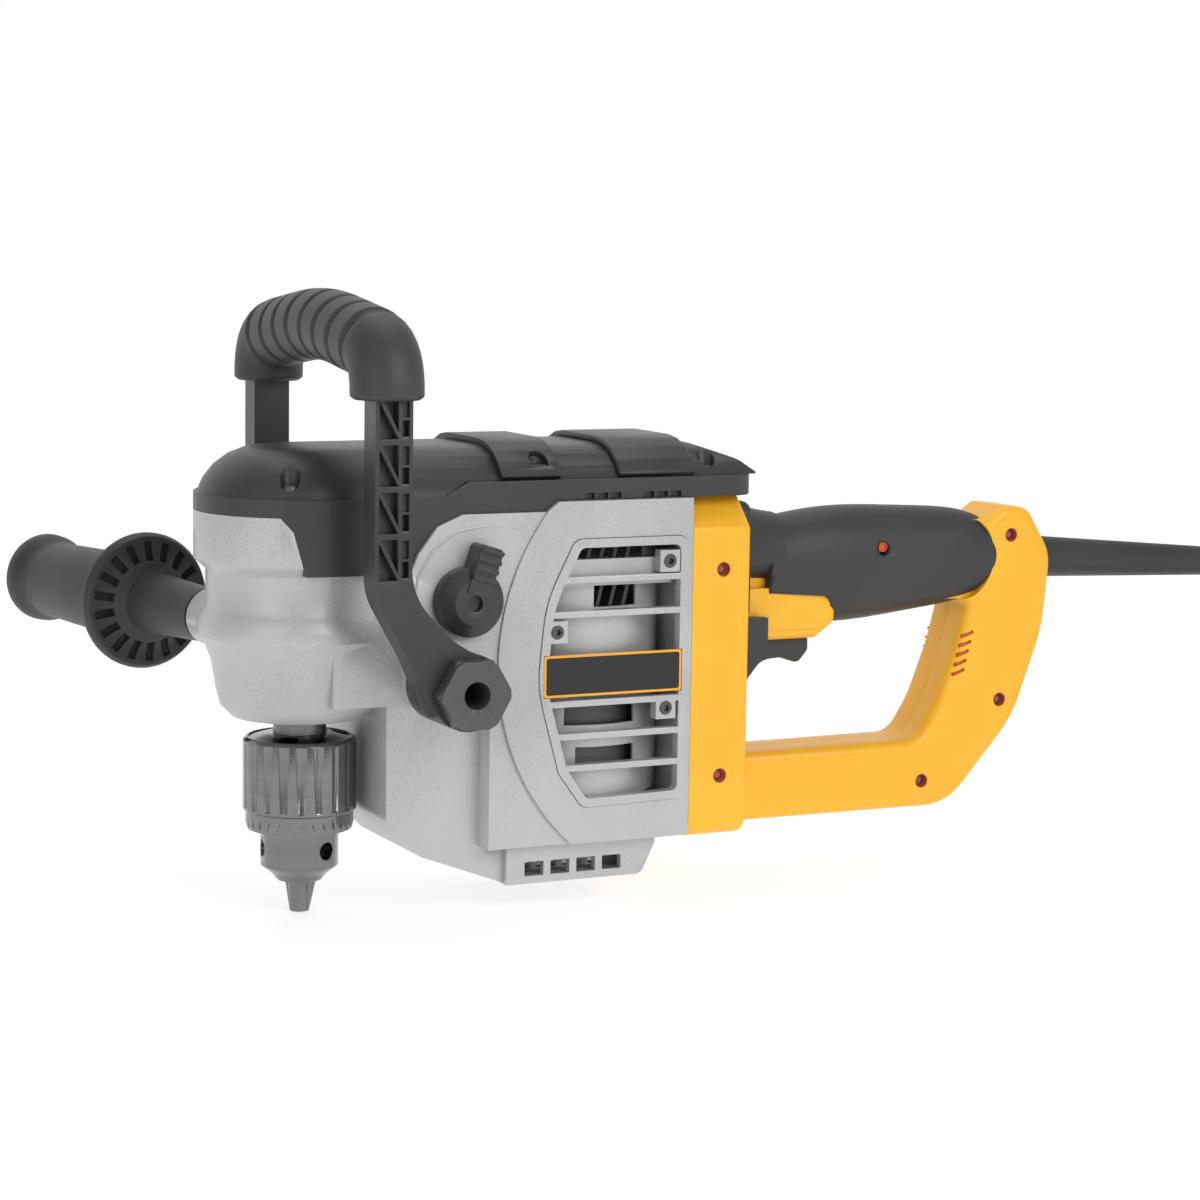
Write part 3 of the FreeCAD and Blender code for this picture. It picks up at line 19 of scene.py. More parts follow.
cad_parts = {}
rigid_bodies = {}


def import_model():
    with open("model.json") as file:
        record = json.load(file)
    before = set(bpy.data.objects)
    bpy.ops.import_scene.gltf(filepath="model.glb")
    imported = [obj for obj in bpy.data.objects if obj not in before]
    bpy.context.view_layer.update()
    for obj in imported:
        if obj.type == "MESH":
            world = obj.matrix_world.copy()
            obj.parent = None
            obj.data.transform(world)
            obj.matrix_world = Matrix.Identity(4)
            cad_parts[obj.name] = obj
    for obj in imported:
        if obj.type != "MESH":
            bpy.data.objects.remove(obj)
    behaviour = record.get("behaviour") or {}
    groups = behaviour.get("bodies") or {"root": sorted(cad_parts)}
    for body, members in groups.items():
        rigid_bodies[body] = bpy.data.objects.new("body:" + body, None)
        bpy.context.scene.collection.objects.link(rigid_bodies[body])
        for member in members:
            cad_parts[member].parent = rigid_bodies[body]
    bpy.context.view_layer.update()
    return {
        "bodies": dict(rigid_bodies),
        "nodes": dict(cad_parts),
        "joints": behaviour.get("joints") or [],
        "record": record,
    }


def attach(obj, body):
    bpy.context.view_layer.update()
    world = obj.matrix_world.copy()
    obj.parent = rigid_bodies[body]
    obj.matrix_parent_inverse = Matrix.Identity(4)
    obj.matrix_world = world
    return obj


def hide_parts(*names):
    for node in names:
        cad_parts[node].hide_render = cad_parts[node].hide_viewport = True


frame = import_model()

LOG = logging.getLogger("drill")
Point = tuple[float, ...]
FULL_TURN = 2 * math.pi
SHARP_FROM = 32.0  # degrees; edges that turn by more keep a sharp look
SAME_POINT = 1e-7  # metres; points nearer than this are one
NODE_POINT = 2e-6  # metres; the same for the loose triangles of a CAD node
SWAP_XY = Matrix(((0, 1, 0, 0), (1, 0, 0, 0), (0, 0, 1, 0), (0, 0, 0, 1)))
LAY_FLAT = Matrix(((1, 0, 0, 0), (0, 0, -1, 0), (0, -1, 0, 0), (0, 0, 0, 1)))


def mm(*values: float) -> Vector:
    """Millimetres as a vector in metres."""
    return Vector(values) * 0.001


# ---------------------------------------------------------------- shader node groups
def tuned(node: bpy.types.Node, **values: float | Point) -> bpy.types.Node:
    """Set a node's inputs by name, with _ for a space, and give the node back."""
    for name, value in values.items():
        node.inputs[name.replace("_", " ")].default_value = value
    return node


def wired(tree: bpy.types.NodeTree, *pairs: tuple[bpy.types.NodeSocket, bpy.types.NodeSocket]) -> None:
    """Link pairs of sockets, each from an output to an input."""
    for source, goal in pairs:
        tree.links.new(source, goal)


class Grain(Enum):
    """How a surface's fine marks lie."""

    SPECKLED = "speckled"
    TURNED = "turned"


class SurfaceGroups:
    """Shader node groups that several finishes share."""

    @staticmethod
    def _new(name: str, fine_scale: str, fine: float, slow: float) -> bpy.types.NodeTree:
        """A shader group with a vector input, two scales, a height and a mask.

        Args:
            name: The group's name.
            fine_scale: Name of the fine marks' scale input.
            fine: Its default.
            slow: Default of the input named Patch Scale.

        Returns:
            The new group, with its input and output nodes.
        """
        tree = bpy.data.node_groups.new(name, "ShaderNodeTree")
        tree.interface.new_socket("Place", in_out="INPUT", socket_type="NodeSocketVector")
        for label, value in ((fine_scale, fine), ("Patch Scale", slow)):
            socket = tree.interface.new_socket(label, in_out="INPUT", socket_type="NodeSocketFloat")
            socket.default_value = value
        for label in ("Height", "Patches"):
            tree.interface.new_socket(label, in_out="OUTPUT", socket_type="NodeSocketFloat")
        tree.nodes.new("NodeGroupInput").name = "in"
        tree.nodes.new("NodeGroupOutput").name = "out"
        return tree

    @staticmethod
    def _noises(tree: bpy.types.NodeTree, fine_scale: str,
                place: bpy.types.NodeSocket) -> list[bpy.types.Node]:
        """Put a fine and a slow noise between the group's inputs and outputs.

        Args:
            tree: The group.
            fine_scale: Name of the fine marks' scale input.
            place: The socket that says where a point is.

        Returns:
            The fine noise and the slow one.
        """
        noises = []
        start, end = tree.nodes["in"].outputs, tree.nodes["out"].inputs
        for scale, result in ((fine_scale, "Height"), ("Patch Scale", "Patches")):
            noise = tree.nodes.new("ShaderNodeTexNoise")
            wired(tree, (place, noise.inputs["Vector"]), (start[scale], noise.inputs["Scale"]),
                  (noise.outputs["Fac"], end[result]))
            noises.append(noise)
        return noises

    @classmethod
    def grain(cls) -> bpy.types.NodeTree:
        """Fine grain as a height, and slow patches as a mask."""
        name = "surface_grain"
        if name in bpy.data.node_groups:
            return bpy.data.node_groups[name]
        tree = cls._new(name, "Grain Scale", 900.0, 14.0)
        fine, slow = cls._noises(tree, "Grain Scale", tree.nodes["in"].outputs["Place"])
        tuned(fine, Detail=3.0, Roughness=0.6)
        tuned(slow, Detail=4.0)
        return tree

    @classmethod
    def rings(cls) -> bpy.types.NodeTree:
        """Turning marks: fine rings along Z whose spacing wanders."""
        name = "turning_rings"
        if name in bpy.data.node_groups:
            return bpy.data.node_groups[name]
        tree = cls._new(name, "Ring Scale", 2600.0, 60.0)
        flatten = tree.nodes.new("ShaderNodeVectorMath")
        flatten.operation = "MULTIPLY"
        flatten.inputs[1].default_value = (0.02, 0.02, 1.0)
        wired(tree, (tree.nodes["in"].outputs["Place"], flatten.inputs[0]))
        cls._noises(tree, "Ring Scale", flatten.outputs[0])
        return tree


@dataclass(frozen=True)
class Finish:
    """One finish: two close colours, a band of roughness and the depth of its grain."""

    name: str
    light: Point
    dark: Point
    rough: Point = (0.45, 0.6)
    metallic: float = 0.0
    grain_scale: float = 900.0
    grain_depth: float = 0.00005
    patch_scale: float = 14.0
    speckle: float = 0.25
    coat: float = 0.0
    grain: Grain = Grain.SPECKLED

    def material(self) -> bpy.types.Material:
        """The finish's material, made once.

        Returns:
            A node material named after the finish.
        """
        label = f"{self.name}_finish"
        if label in bpy.data.materials:
            return bpy.data.materials[label]
        made = bpy.data.materials.new(label)
        made.use_nodes = True
        nodes = made.node_tree.nodes
        shader = tuned(nodes["Principled BSDF"], Metallic=self.metallic, Coat_Weight=self.coat)
        place = nodes.new("ShaderNodeTexCoord")
        group = nodes.new("ShaderNodeGroup")
        turned = self.grain is Grain.TURNED
        group.node_tree = SurfaceGroups.rings() if turned else SurfaceGroups.grain()
        group.inputs["Ring Scale" if turned else "Grain Scale"].default_value = self.grain_scale
        tuned(group, Patch_Scale=self.patch_scale)
        blend = nodes.new("ShaderNodeMath")
        blend.operation = "MULTIPLY_ADD"
        blend.inputs[1].default_value = self.speckle
        ramp = nodes.new("ShaderNodeValToRGB")
        stops = ((0.35, self.dark), (0.65, self.light))
        for element, (position, colour) in zip(ramp.color_ramp.elements, stops):
            element.position = position + self.speckle / 2
            element.color = (*colour, 1)
        spread = tuned(nodes.new("ShaderNodeMapRange"), From_Min=0.3, From_Max=0.7,
                       To_Min=self.rough[0], To_Max=self.rough[1])
        bump = tuned(nodes.new("ShaderNodeBump"), Distance=self.grain_depth, Strength=1.0)
        height = group.outputs["Height"]
        wired(made.node_tree, (place.outputs["Object"], group.inputs["Place"]),
              (height, blend.inputs[0]), (group.outputs["Patches"], blend.inputs[2]),
              (blend.outputs[0], ramp.inputs["Fac"]),
              (ramp.outputs["Color"], shader.inputs["Base Color"]),
              (height, spread.inputs["Value"]), (spread.outputs["Result"], shader.inputs["Roughness"]),
              (height, bump.inputs["Height"]), (bump.outputs["Normal"], shader.inputs["Normal"]))
        return made


SILVER = Finish("silver_paint", (0.50, 0.502, 0.506), (0.42, 0.422, 0.426), (0.34, 0.5), 0.35,
                grain_scale=1100, grain_depth=0.00006, speckle=0.9, coat=0.1)
BLACK = Finish("black_plastic", (0.038, 0.039, 0.041), (0.029, 0.030, 0.032), (0.34, 0.48),
               grain_scale=1500, grain_depth=0.00004)
FRAME_BLACK = Finish("frame_paint", (0.034, 0.035, 0.037), (0.024, 0.025, 0.027), (0.30, 0.44),
                     grain_scale=1200, grain_depth=0.00005)
RUBBER = Finish("black_rubber", (0.036, 0.0365, 0.038), (0.027, 0.0275, 0.029), (0.42, 0.58),
                grain_scale=2000, grain_depth=0.00005)
YELLOW = Finish("yellow_plastic", (0.95, 0.49, 0.018), (0.90, 0.45, 0.015), (0.36, 0.48),
                grain_scale=1500, grain_depth=0.00003, coat=0.08)
# painted shade: the orange-red that deep recesses in the yellow plastic show in shade, given as a colour
PAINTED_RECESS_SHADE = Finish("recess_orange", (0.62, 0.10, 0.03), (0.50, 0.07, 0.02), (0.5, 0.7))
CHUCK = Finish("chuck_steel", (0.23, 0.23, 0.233), (0.185, 0.185, 0.188), (0.14, 0.22), 1.0,
               grain_scale=2600, grain_depth=0.00002, patch_scale=90, speckle=0.5, grain=Grain.TURNED)
STEEL = Finish("gear_steel", (0.26, 0.26, 0.265), (0.17, 0.17, 0.175), (0.25, 0.4), 1.0)
BOLT = Finish("bolt_steel", (0.11, 0.11, 0.114), (0.08, 0.08, 0.084), (0.28, 0.42), 0.5)
ALLOY = Finish("alloy", (0.50, 0.51, 0.52), (0.40, 0.41, 0.42), (0.4, 0.55), 0.9)
IRON = Finish("core_iron", (0.16, 0.16, 0.17), (0.10, 0.10, 0.11), (0.4, 0.6), 0.8, grain=Grain.TURNED)
COPPER = Finish("winding_copper", (0.62, 0.24, 0.10), (0.45, 0.15, 0.06), (0.3, 0.5), 0.9)
CARBON = Finish("carbon", (0.06, 0.06, 0.06), (0.03, 0.03, 0.03), (0.4, 0.6), 0.2)
BADGE = Finish("badge", (0.010, 0.010, 0.012), (0.007, 0.007, 0.009), (0.34, 0.42))
AMBER = Finish("badge_amber", (0.90, 0.42, 0.02), (0.86, 0.38, 0.02), (0.3, 0.4))


# ---------------------------------------------------------------- mesh making
def shaded(mesh: bpy.types.Mesh, angle: float = SHARP_FROM) -> None:
    """Shade a mesh smooth, but for the edges that turn by more than the angle in degrees."""
    mesh.shade_smooth()
    mesh.set_sharp_from_angle(angle=math.radians(angle))


def shown(piece: bpy.types.Object) -> bpy.types.Object:
    """Put an object in the scene and give it back."""
    bpy.context.scene.collection.objects.link(piece)
    return piece


def new_piece(name: str, mesh: bpy.types.Mesh, finish: Finish,
              smooth_angle: float = SHARP_FROM) -> bpy.types.Object:
    """An object at the origin that holds a mesh and one finish.

    Args:
        name: The piece's name.
        mesh: Its mesh, in metres in the frame.
        finish: What it is finished in.
        smooth_angle: Edges that turn by more than this many degrees stay sharp.

    Returns:
        The linked object.
    """
    mesh.materials.clear()
    mesh.materials.append(finish.material())
    shaded(mesh, smooth_angle)
    return shown(bpy.data.objects.new(name, mesh))


def settled(piece: bpy.types.Object) -> bpy.types.Object:
    """The piece with its modifiers made part of a plain mesh."""
    graph = bpy.context.evaluated_depsgraph_get()
    plain = bpy.data.meshes.new_from_object(piece.evaluated_get(graph), depsgraph=graph)
    piece.modifiers.clear()
    old = piece.data
    piece.data = plain
    if old.users == 0 and isinstance(old, bpy.types.Mesh):
        bpy.data.meshes.remove(old)
    plain.name = piece.name
    return piece


def outwards(form: bmesh.types.BMesh) -> None:
    """Merge doubles and point every face outwards."""
    bmesh.ops.remove_doubles(form, verts=form.verts, dist=SAME_POINT)
    bmesh.ops.recalc_face_normals(form, faces=form.faces)


def as_mesh(name: str, form: bmesh.types.BMesh) -> bpy.types.Mesh:
    """Turn a finished bmesh into a mesh and free it."""
    outwards(form)
    mesh = bpy.data.meshes.new(name)
    form.to_mesh(mesh)
    form.free()
    return mesh


def turned_over(mesh: bpy.types.Mesh, mirror: Matrix) -> bpy.types.Mesh:
    """Move a mesh by a mirroring matrix, with its faces outwards again."""
    mesh.transform(mirror)
    form = bmesh.new()
    form.from_mesh(mesh)
    name = mesh.name
    bpy.data.meshes.remove(mesh)
    return as_mesh(name, form)


def rounded(corners: Sequence[Point], steps: int = 7) -> list[Point]:
    """Round an outline's corners.

    Args:
        corners: (x, z) or (x, z, radius) corners in millimetres, in order.
        steps: Points along each rounded corner.

    Returns:
        The outline's points.
    """
    outline: list[Point] = []
    for index, corner in enumerate(corners):
        here = Vector(corner[:2])
        if len(corner) < 3:
            outline.append((here.x, here.y))
            continue
        into = (here - Vector(corners[index - 1][:2])).normalized()
        out = (Vector(corners[(index + 1) % len(corners)][:2]) - here).normalized()
        half_turn = into.angle(out) / 2
        back = corner[2] * math.tan(half_turn)
        start, end = here - into * back, here + out * back
        for step in range(steps + 1):
            share = step / steps
            outline.append(tuple(start.lerp(here, share).lerp(here.lerp(end, share), share)))
    return outline


def shrunk(outline: Sequence[Point], inset: float) -> list[Vector]:
    """An outline moved to its inside by some distance; a clockwise one moves outwards."""
    moved = []
    for index, point in enumerate(outline):
        here = Vector(point[:2])
        into = (here - Vector(outline[index - 1][:2])).normalized()
        out = (Vector(outline[(index + 1) % len(outline)][:2]) - here).normalized()
        side = Vector((-into.y - out.y, into.x + out.x))
        length = max(side.length, 0.4)
        moved.append(here + side / length * inset * min(2 / length, 1.6))
    return moved


def signed_area(outline: Sequence[Point]) -> float:
    """Twice the area of an outline, positive when it runs counterclockwise."""
    pairs = zip(outline, [*outline[1:], outline[0]])
    return sum(a[0] * b[1] - b[0] * a[1] for a, b in pairs)


def walled(form: bmesh.types.BMesh, rings: Sequence[Sequence[bmesh.types.BMVert]]) -> None:
    """Put faces between rings that have the same number of points."""
    for low, high in zip(rings, rings[1:]):
        for index in range(len(low)):
            form.faces.new((low[index - 1], low[index], high[index], high[index - 1]))


@dataclass(frozen=True)
class Slab:
    """A plate cut to an outline in XZ with rounded rims.

    Attributes:
        outside: The outline, in millimetres.
        low_y: Lower face.
        high_y: Upper face.
        soft_low: Rounding of the lower rim.
        soft_high: Rounding of the upper rim.
    """

    outside: Sequence[Point]
    low_y: float
    high_y: float
    soft_low: float = 0.5
    soft_high: float = 0.5

    def levels(self) -> list[tuple[float, float]]:
        """(y, inset) pairs from the lower face to the upper one."""
        bends = [(1 - math.sin(a), 1 - math.cos(a)) for a in map(math.radians, (0, 22.5, 45, 67.5, 90))]
        low = [(self.low_y + self.soft_low * rise, self.soft_low * inset)
               for rise, inset in reversed(bends)]
        high = [(self.high_y - self.soft_high * rise, self.soft_high * inset) for rise, inset in bends]
        return low + high

    def mesh(self, name: str) -> bpy.types.Mesh:
        """The plate's mesh."""
        form = bmesh.new()
        points = [tuple(p[:2]) for p in self.outside]
        if signed_area(points) <= 0:
            points.reverse()
        rings = [[form.verts.new(mm(p.x, y, p.y)) for p in shrunk(points, inset)]
                 for y, inset in self.levels()]
        walled(form, rings)
        for cap in (rings[0], rings[-1]):
            flat = [Vector((v.co.x, v.co.z, 0)) for v in cap]
            for corners in tessellate_polygon([flat]):
                if len(set(corners)) == 3:
                    form.faces.new([cap[corner] for corner in corners])
        return as_mesh(name, form)


def lathed(name: str, profile: Sequence[Point], place: Matrix = Matrix(),
           steps: int = 96) -> bpy.types.Mesh:
    """A turned shape.

    Args:
        name: The mesh's name.
        profile: (radius, height) points in millimetres from one end of the axis to the other.
        place: Where the turning axis, local Z, goes.
        steps: Sides of the turned shape.

    Returns:
        A closed mesh.
    """
    form = bmesh.new()
    rings = []
    for radius, height in profile:
        count = steps if radius > 1e-6 else 1
        rings.append([
            form.verts.new(place @ mm(radius * math.cos(FULL_TURN * i / steps),
                                      radius * math.sin(FULL_TURN * i / steps), height))
            for i in range(count)
        ])
    for low, high in zip(rings, rings[1:]):
        for index in range(steps):
            corners = [low[index % len(low)], low[(index + 1) % len(low)],
                       high[(index + 1) % len(high)], high[index % len(high)]]
            unique = list(dict.fromkeys(corners))
            if len(unique) > 2:
                form.faces.new(unique)
    return as_mesh(name, form)


def swept(name: str, line: Sequence[Vector], section: Callable[[float, float], float],
          around: int = 40, across: Vector = Vector((1, 0, 0))) -> bpy.types.Mesh:
    """A closed tube along a line.

    Args:
        name: The mesh's name.
        line: Points of the middle line, in metres.
        section: Radius in metres, from the share of the way along and the angle about the line.
        around: Sides of the tube.
        across: A direction that is never along the line; angle 0 points that way.

    Returns:
        The mesh, with both ends closed.
    """
    form = bmesh.new()
    rings = []
    for index, here in enumerate(line):
        ahead = line[min(index + 1, len(line) - 1)] - line[max(index - 1, 0)]
        ahead.normalize()
        side = (across - ahead * across.dot(ahead)).normalized()
        up = ahead.cross(side)
        share = index / (len(line) - 1)
        ring = []
        for step in range(around):
            angle = FULL_TURN * step / around
            out = side * math.cos(angle) + up * math.sin(angle)
            ring.append(form.verts.new(here + out * section(share, angle)))
        rings.append(ring)
    walled(form, rings)
    form.faces.new(rings[0])
    form.faces.new(rings[-1])
    return as_mesh(name, form)


def softened(node: bpy.types.Object, name: str, finish: Finish, width: float, angle: float = 34.0,
             segments: int = 2) -> bpy.types.Object:
    """A copy of a CAD node with its edges rounded.

    Args:
        node: The CAD node's object.
        name: The new piece's name.
        finish: Its finish.
        width: Width of the rounding, in millimetres.
        angle: Edges that turn by more than this many degrees are rounded.
        segments: Steps across the rounding.

    Returns:
        The new piece.
    """
    form = bmesh.new()
    form.from_mesh(node.data)
    bmesh.ops.remove_doubles(form, verts=form.verts, dist=NODE_POINT)
    piece = new_piece(name, as_mesh(name, form), finish, angle)
    if width > 0:
        soft = piece.modifiers.new("rounding", "BEVEL")
        soft.width = width * 0.001
        soft.segments = segments
        soft.limit_method = "ANGLE"
        soft.angle_limit = math.radians(angle)
        soft.use_clamp_overlap = True
        soft.harden_normals = True
        soft.miter_outer = "MITER_ARC"
    return settled(piece)


def carved(piece: bpy.types.Object, cutters: Iterable[bpy.types.Mesh]) -> bpy.types.Object:
    """Cut closed shapes out of a piece."""
    for index, mesh in enumerate(cutters):
        tool = shown(bpy.data.objects.new(f"tool_{index}", mesh))
        cut = piece.modifiers.new("cut", "BOOLEAN")
        cut.operation = "DIFFERENCE"
        cut.solver = "EXACT"
        cut.object = tool
        settled(piece)
        bpy.data.objects.remove(tool)
    return piece


def cut_block(low: Point, high: Point, turn: Matrix = Matrix()) -> bpy.types.Mesh:
    """A box between two corners, in millimetres, turned about its middle."""
    form = bmesh.new()
    bmesh.ops.create_cube(form, size=1.0)
    size = Vector(high) - Vector(low)
    middle = (Vector(high) + Vector(low)) / 2
    for vert in form.verts:
        vert.co = (turn @ Vector(c * s for c, s in zip(vert.co, size)) + middle) * 0.001
    return as_mesh("block", form)


def along(axis: Vector, at: Vector) -> Matrix:
    """A matrix that puts local Z along an axis through a point."""
    return Matrix.Translation(at) @ axis.to_track_quat("Z", "Y").to_matrix().to_4x4()


# ---------------------------------------------------------------- geometry nodes
@dataclass(frozen=True)
class Copy:
    """Where one copy of a template goes: a point in metres, and its turn."""

    at: Vector
    turn: Euler


class CopyTree:
    """A Geometry Nodes tree that puts a turned copy of a template on each point of a mesh."""

    NAME = "place_copies"

    @classmethod
    def tree(cls) -> bpy.types.NodeTree:
        """The tree, built once, with inputs Points, Template, Size and Finish."""
        if cls.NAME in bpy.data.node_groups:
            return bpy.data.node_groups[cls.NAME]
        tree = bpy.data.node_groups.new(cls.NAME, "GeometryNodeTree")
        for label, kind in (("Points", "Geometry"), ("Template", "Object"), ("Size", "Float"),
                            ("Finish", "Material")):
            tree.interface.new_socket(label, in_out="INPUT", socket_type=f"NodeSocket{kind}")
        tree.interface.new_socket("Copies", in_out="OUTPUT", socket_type="NodeSocketGeometry")
        nodes = tree.nodes
        start, end = nodes.new("NodeGroupInput"), nodes.new("NodeGroupOutput")
        template = nodes.new("GeometryNodeObjectInfo")
        template.inputs["As Instance"].default_value = True
        turn = nodes.new("GeometryNodeInputNamedAttribute")
        turn.data_type = "FLOAT_VECTOR"
        turn.inputs["Name"].default_value = "turn"
        rotation = nodes.new("FunctionNodeEulerToRotation")
        copies = nodes.new("GeometryNodeInstanceOnPoints")
        real = nodes.new("GeometryNodeRealizeInstances")
        dressed = nodes.new("GeometryNodeSetMaterial")
        wired(tree, (start.outputs["Points"], copies.inputs["Points"]),
              (start.outputs["Template"], template.inputs["Object"]),
              (template.outputs["Geometry"], copies.inputs["Instance"]),
              (turn.outputs["Attribute"], rotation.inputs["Euler"]),
              (rotation.outputs["Rotation"], copies.inputs["Rotation"]),
              (start.outputs["Size"], copies.inputs["Scale"]),
              (copies.outputs["Instances"], real.inputs["Geometry"]),
              (real.outputs["Geometry"], dressed.inputs["Geometry"]),
              (start.outputs["Finish"], dressed.inputs["Material"]),
              (dressed.outputs["Geometry"], end.inputs["Copies"]))
        return tree

    @classmethod
    def scatter(cls, name: str, template: bpy.types.Mesh, copies: Sequence[Copy],
                finish: Finish) -> bpy.types.Object:
        """Put copies of a template in place as one plain mesh.

        Args:
            name: The piece's name.
            template: What is copied, about its own origin.
            copies: Where the copies go.
            finish: Their finish.

        Returns:
            The finished piece.
        """
        points = bpy.data.meshes.new(name)
        points.from_pydata([c.at for c in copies], [], [])
        turns = points.attributes.new("turn", "FLOAT_VECTOR", "POINT")
        turns.data.foreach_set("vector", [v for c in copies for v in c.turn])
        holder = shown(bpy.data.objects.new(name + "_template", template))
        piece = shown(bpy.data.objects.new(name, points))
        maker = piece.modifiers.new("copies", "NODES")
        maker.node_group = cls.tree()
        sockets = maker.node_group.interface.items_tree
        inputs = {socket.name: socket.identifier for socket in sockets if socket.in_out == "INPUT"}
        maker[inputs["Template"]] = holder
        maker[inputs["Size"]] = 1.0
        maker[inputs["Finish"]] = finish.material()
        settled(piece)
        bpy.data.objects.remove(holder)
        shaded(piece.data)
        return piece


class Workshop:
    """Keeps the frame and puts finished pieces on its bodies."""

    def __init__(self, frame: dict) -> None:
        """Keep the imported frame."""
        self.nodes = frame["nodes"]

    def mount(self, piece: bpy.types.Object, body: str, slot: str, *replaced: str) -> bpy.types.Object:
        """Let a piece ride on a body, in place of CAD nodes.

        Args:
            piece: The finished piece.
            body: The body that it rides on.
            slot: The record's material slot; not used.
            replaced: CAD nodes that it stands for.

        Returns:
            The piece.
        """
        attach(piece, body)
        if replaced:
            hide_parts(*replaced)
        LOG.info("%s on %s, %d faces", piece.name, body, len(getattr(piece.data, "polygons", ())))
        return piece

    def dress(self, finish: Finish, *names: str) -> None:
        """Give CAD nodes a finish."""
        for name in names:
            node = self.nodes[name]
            if not node.material_slots:
                node.data.materials.append(None)
            for slot in node.material_slots:
                slot.link = "OBJECT"
                slot.material = finish.material()
            LOG.info("%s kept, in %s", name, finish.name)

    def round_off(self, node: str, body: str, finish: Finish, width: float,
                  **options: float) -> bpy.types.Object:
        """Stand a softened copy of a CAD node in its place."""
        piece = softened(self.nodes[node], node + "_finished", finish, width, **options)
        return self.mount(piece, body, finish_slot(finish), node)


def finish_slot(finish: Finish) -> str:
    """The record's material slot for a finish."""
    return {"recess_orange": "yellow_plastic", "badge_amber": "badge"}.get(finish.name, finish.name)


# ---------------------------------------------------------------- studio
@dataclass(frozen=True)
class Lamp:
    """A soft square light: its place in millimetres, its side in metres, its power in watts."""

    name: str
    at: Point
    side: float
    power: float


@dataclass(frozen=True)
class Studio:
    """The pale floor, the pale surroundings, the lamps and the camera."""

    seat: Point = (-461.75, -1252.17, 315.77)
    azimuth: float = -26.0
    elevation: float = 7.4
    roll: float = 0.88
    focal: float = 90.0
    aim: Point = (140.0, 0.0, 130.0)
    lamps: tuple[Lamp, ...] = (
        Lamp("key", (450, -1500, 900), 0.8, 11.0),
        Lamp("fill", (-1000, -700, 600), 0.7, 2.0),
        Lamp("top", (200, 200, 1300), 1.0, 4.0),
    )
    white_from: Point = (0.35, 0.75)
    bands: tuple[Point, ...] = ((0.0, 0.6), (0.18, 0.15), (0.30, 0.8), (0.42, 0.15), (0.58, 0.7),
                                (0.70, 0.15), (0.85, 0.6))
    floor_reach: float = 8.0
    floor_z: float = -0.0004
    floor_glow: float = 0.70

    def camera(self) -> None:
        """Put the camera in its seat."""
        turn, rise, roll = (math.radians(v) for v in (self.azimuth, self.elevation, self.roll))
        back = Vector((math.sin(turn) * math.cos(rise), -math.cos(turn) * math.cos(rise),
                       math.sin(rise)))
        level = Vector((math.cos(turn), math.sin(turn), 0))
        lift = back.cross(level)
        right = level * math.cos(roll) + lift * math.sin(roll)
        above = lift * math.cos(roll) - level * math.sin(roll)
        data = bpy.data.cameras.new("camera")
        data.lens, data.sensor_width = self.focal, 36.0
        data.clip_start, data.clip_end = 0.05, 30.0
        seat = shown(bpy.data.objects.new("camera", data))
        look = Matrix((right, above, back)).transposed().to_4x4()
        seat.matrix_world = Matrix.Translation(mm(*self.seat)) @ look
        bpy.context.scene.camera = seat

    def light(self) -> None:
        """Hang the lamps and make the surroundings."""
        for lamp in self.lamps:
            data = bpy.data.lights.new(lamp.name, "AREA")
            data.size, data.energy = lamp.side, lamp.power
            holder = shown(bpy.data.objects.new(lamp.name, data))
            holder.location = mm(*lamp.at)
            sight = mm(*self.aim) - holder.location
            holder.rotation_euler = sight.to_track_quat("-Z", "Y").to_euler()
        self.surroundings()

    def surroundings(self) -> None:
        """Make a world that is white behind the object and banded in front of it."""
        world = bpy.data.worlds.new("surroundings")
        world.use_nodes = True
        nodes = world.node_tree.nodes
        place, split = nodes.new("ShaderNodeTexCoord"), nodes.new("ShaderNodeSeparateXYZ")
        spread = tuned(nodes.new("ShaderNodeMapRange"), From_Min=self.white_from[0],
                       From_Max=self.white_from[1], To_Min=0.0, To_Max=1.0)
        bands = nodes.new("ShaderNodeValToRGB")
        while len(bands.color_ramp.elements) < len(self.bands):
            bands.color_ramp.elements.new(0.5)
        for element, (position, bright) in zip(bands.color_ramp.elements, self.bands):
            element.position = position
            element.color = (bright, bright, bright, 1)
        across = nodes.new("ShaderNodeMath")
        across.operation = "MULTIPLY_ADD"
        across.inputs[1].default_value = 0.5
        across.inputs[2].default_value = 0.5
        mixed = tuned(nodes.new("ShaderNodeMix"), B=1.0)
        sky = tuned(nodes["Background"], Color=(1, 1, 1, 1))
        wired(world.node_tree, (place.outputs["Generated"], split.inputs[0]),
              (split.outputs["Y"], spread.inputs["Value"]), (split.outputs["X"], across.inputs[0]),
              (across.outputs[0], bands.inputs["Fac"]),
              (spread.outputs["Result"], mixed.inputs["Factor"]),
              (bands.outputs["Color"], mixed.inputs["A"]),
              (mixed.outputs["Result"], sky.inputs["Strength"]))
        bpy.context.scene.world = world
        bpy.context.scene.view_settings.view_transform = "Standard"

    def floor(self) -> None:
        """Lay the pale floor just under the jaw tips."""
        form = bmesh.new()
        bmesh.ops.create_grid(form, x_segments=1, y_segments=1, size=self.floor_reach)
        for vert in form.verts:
            vert.co.z = self.floor_z
        pale = Finish("floor_paint", (0.42, 0.42, 0.42), (0.41, 0.41, 0.41), (0.6, 0.7), grain_depth=0.0)
        tuned(pale.material().node_tree.nodes["Principled BSDF"], Emission_Color=(1, 1, 1, 1),
              Emission_Strength=self.floor_glow)
        new_piece("floor", as_mesh("floor", form), pale)

    def build(self) -> None:
        """Make the whole studio."""
        self.camera()
        self.light()
        self.floor()


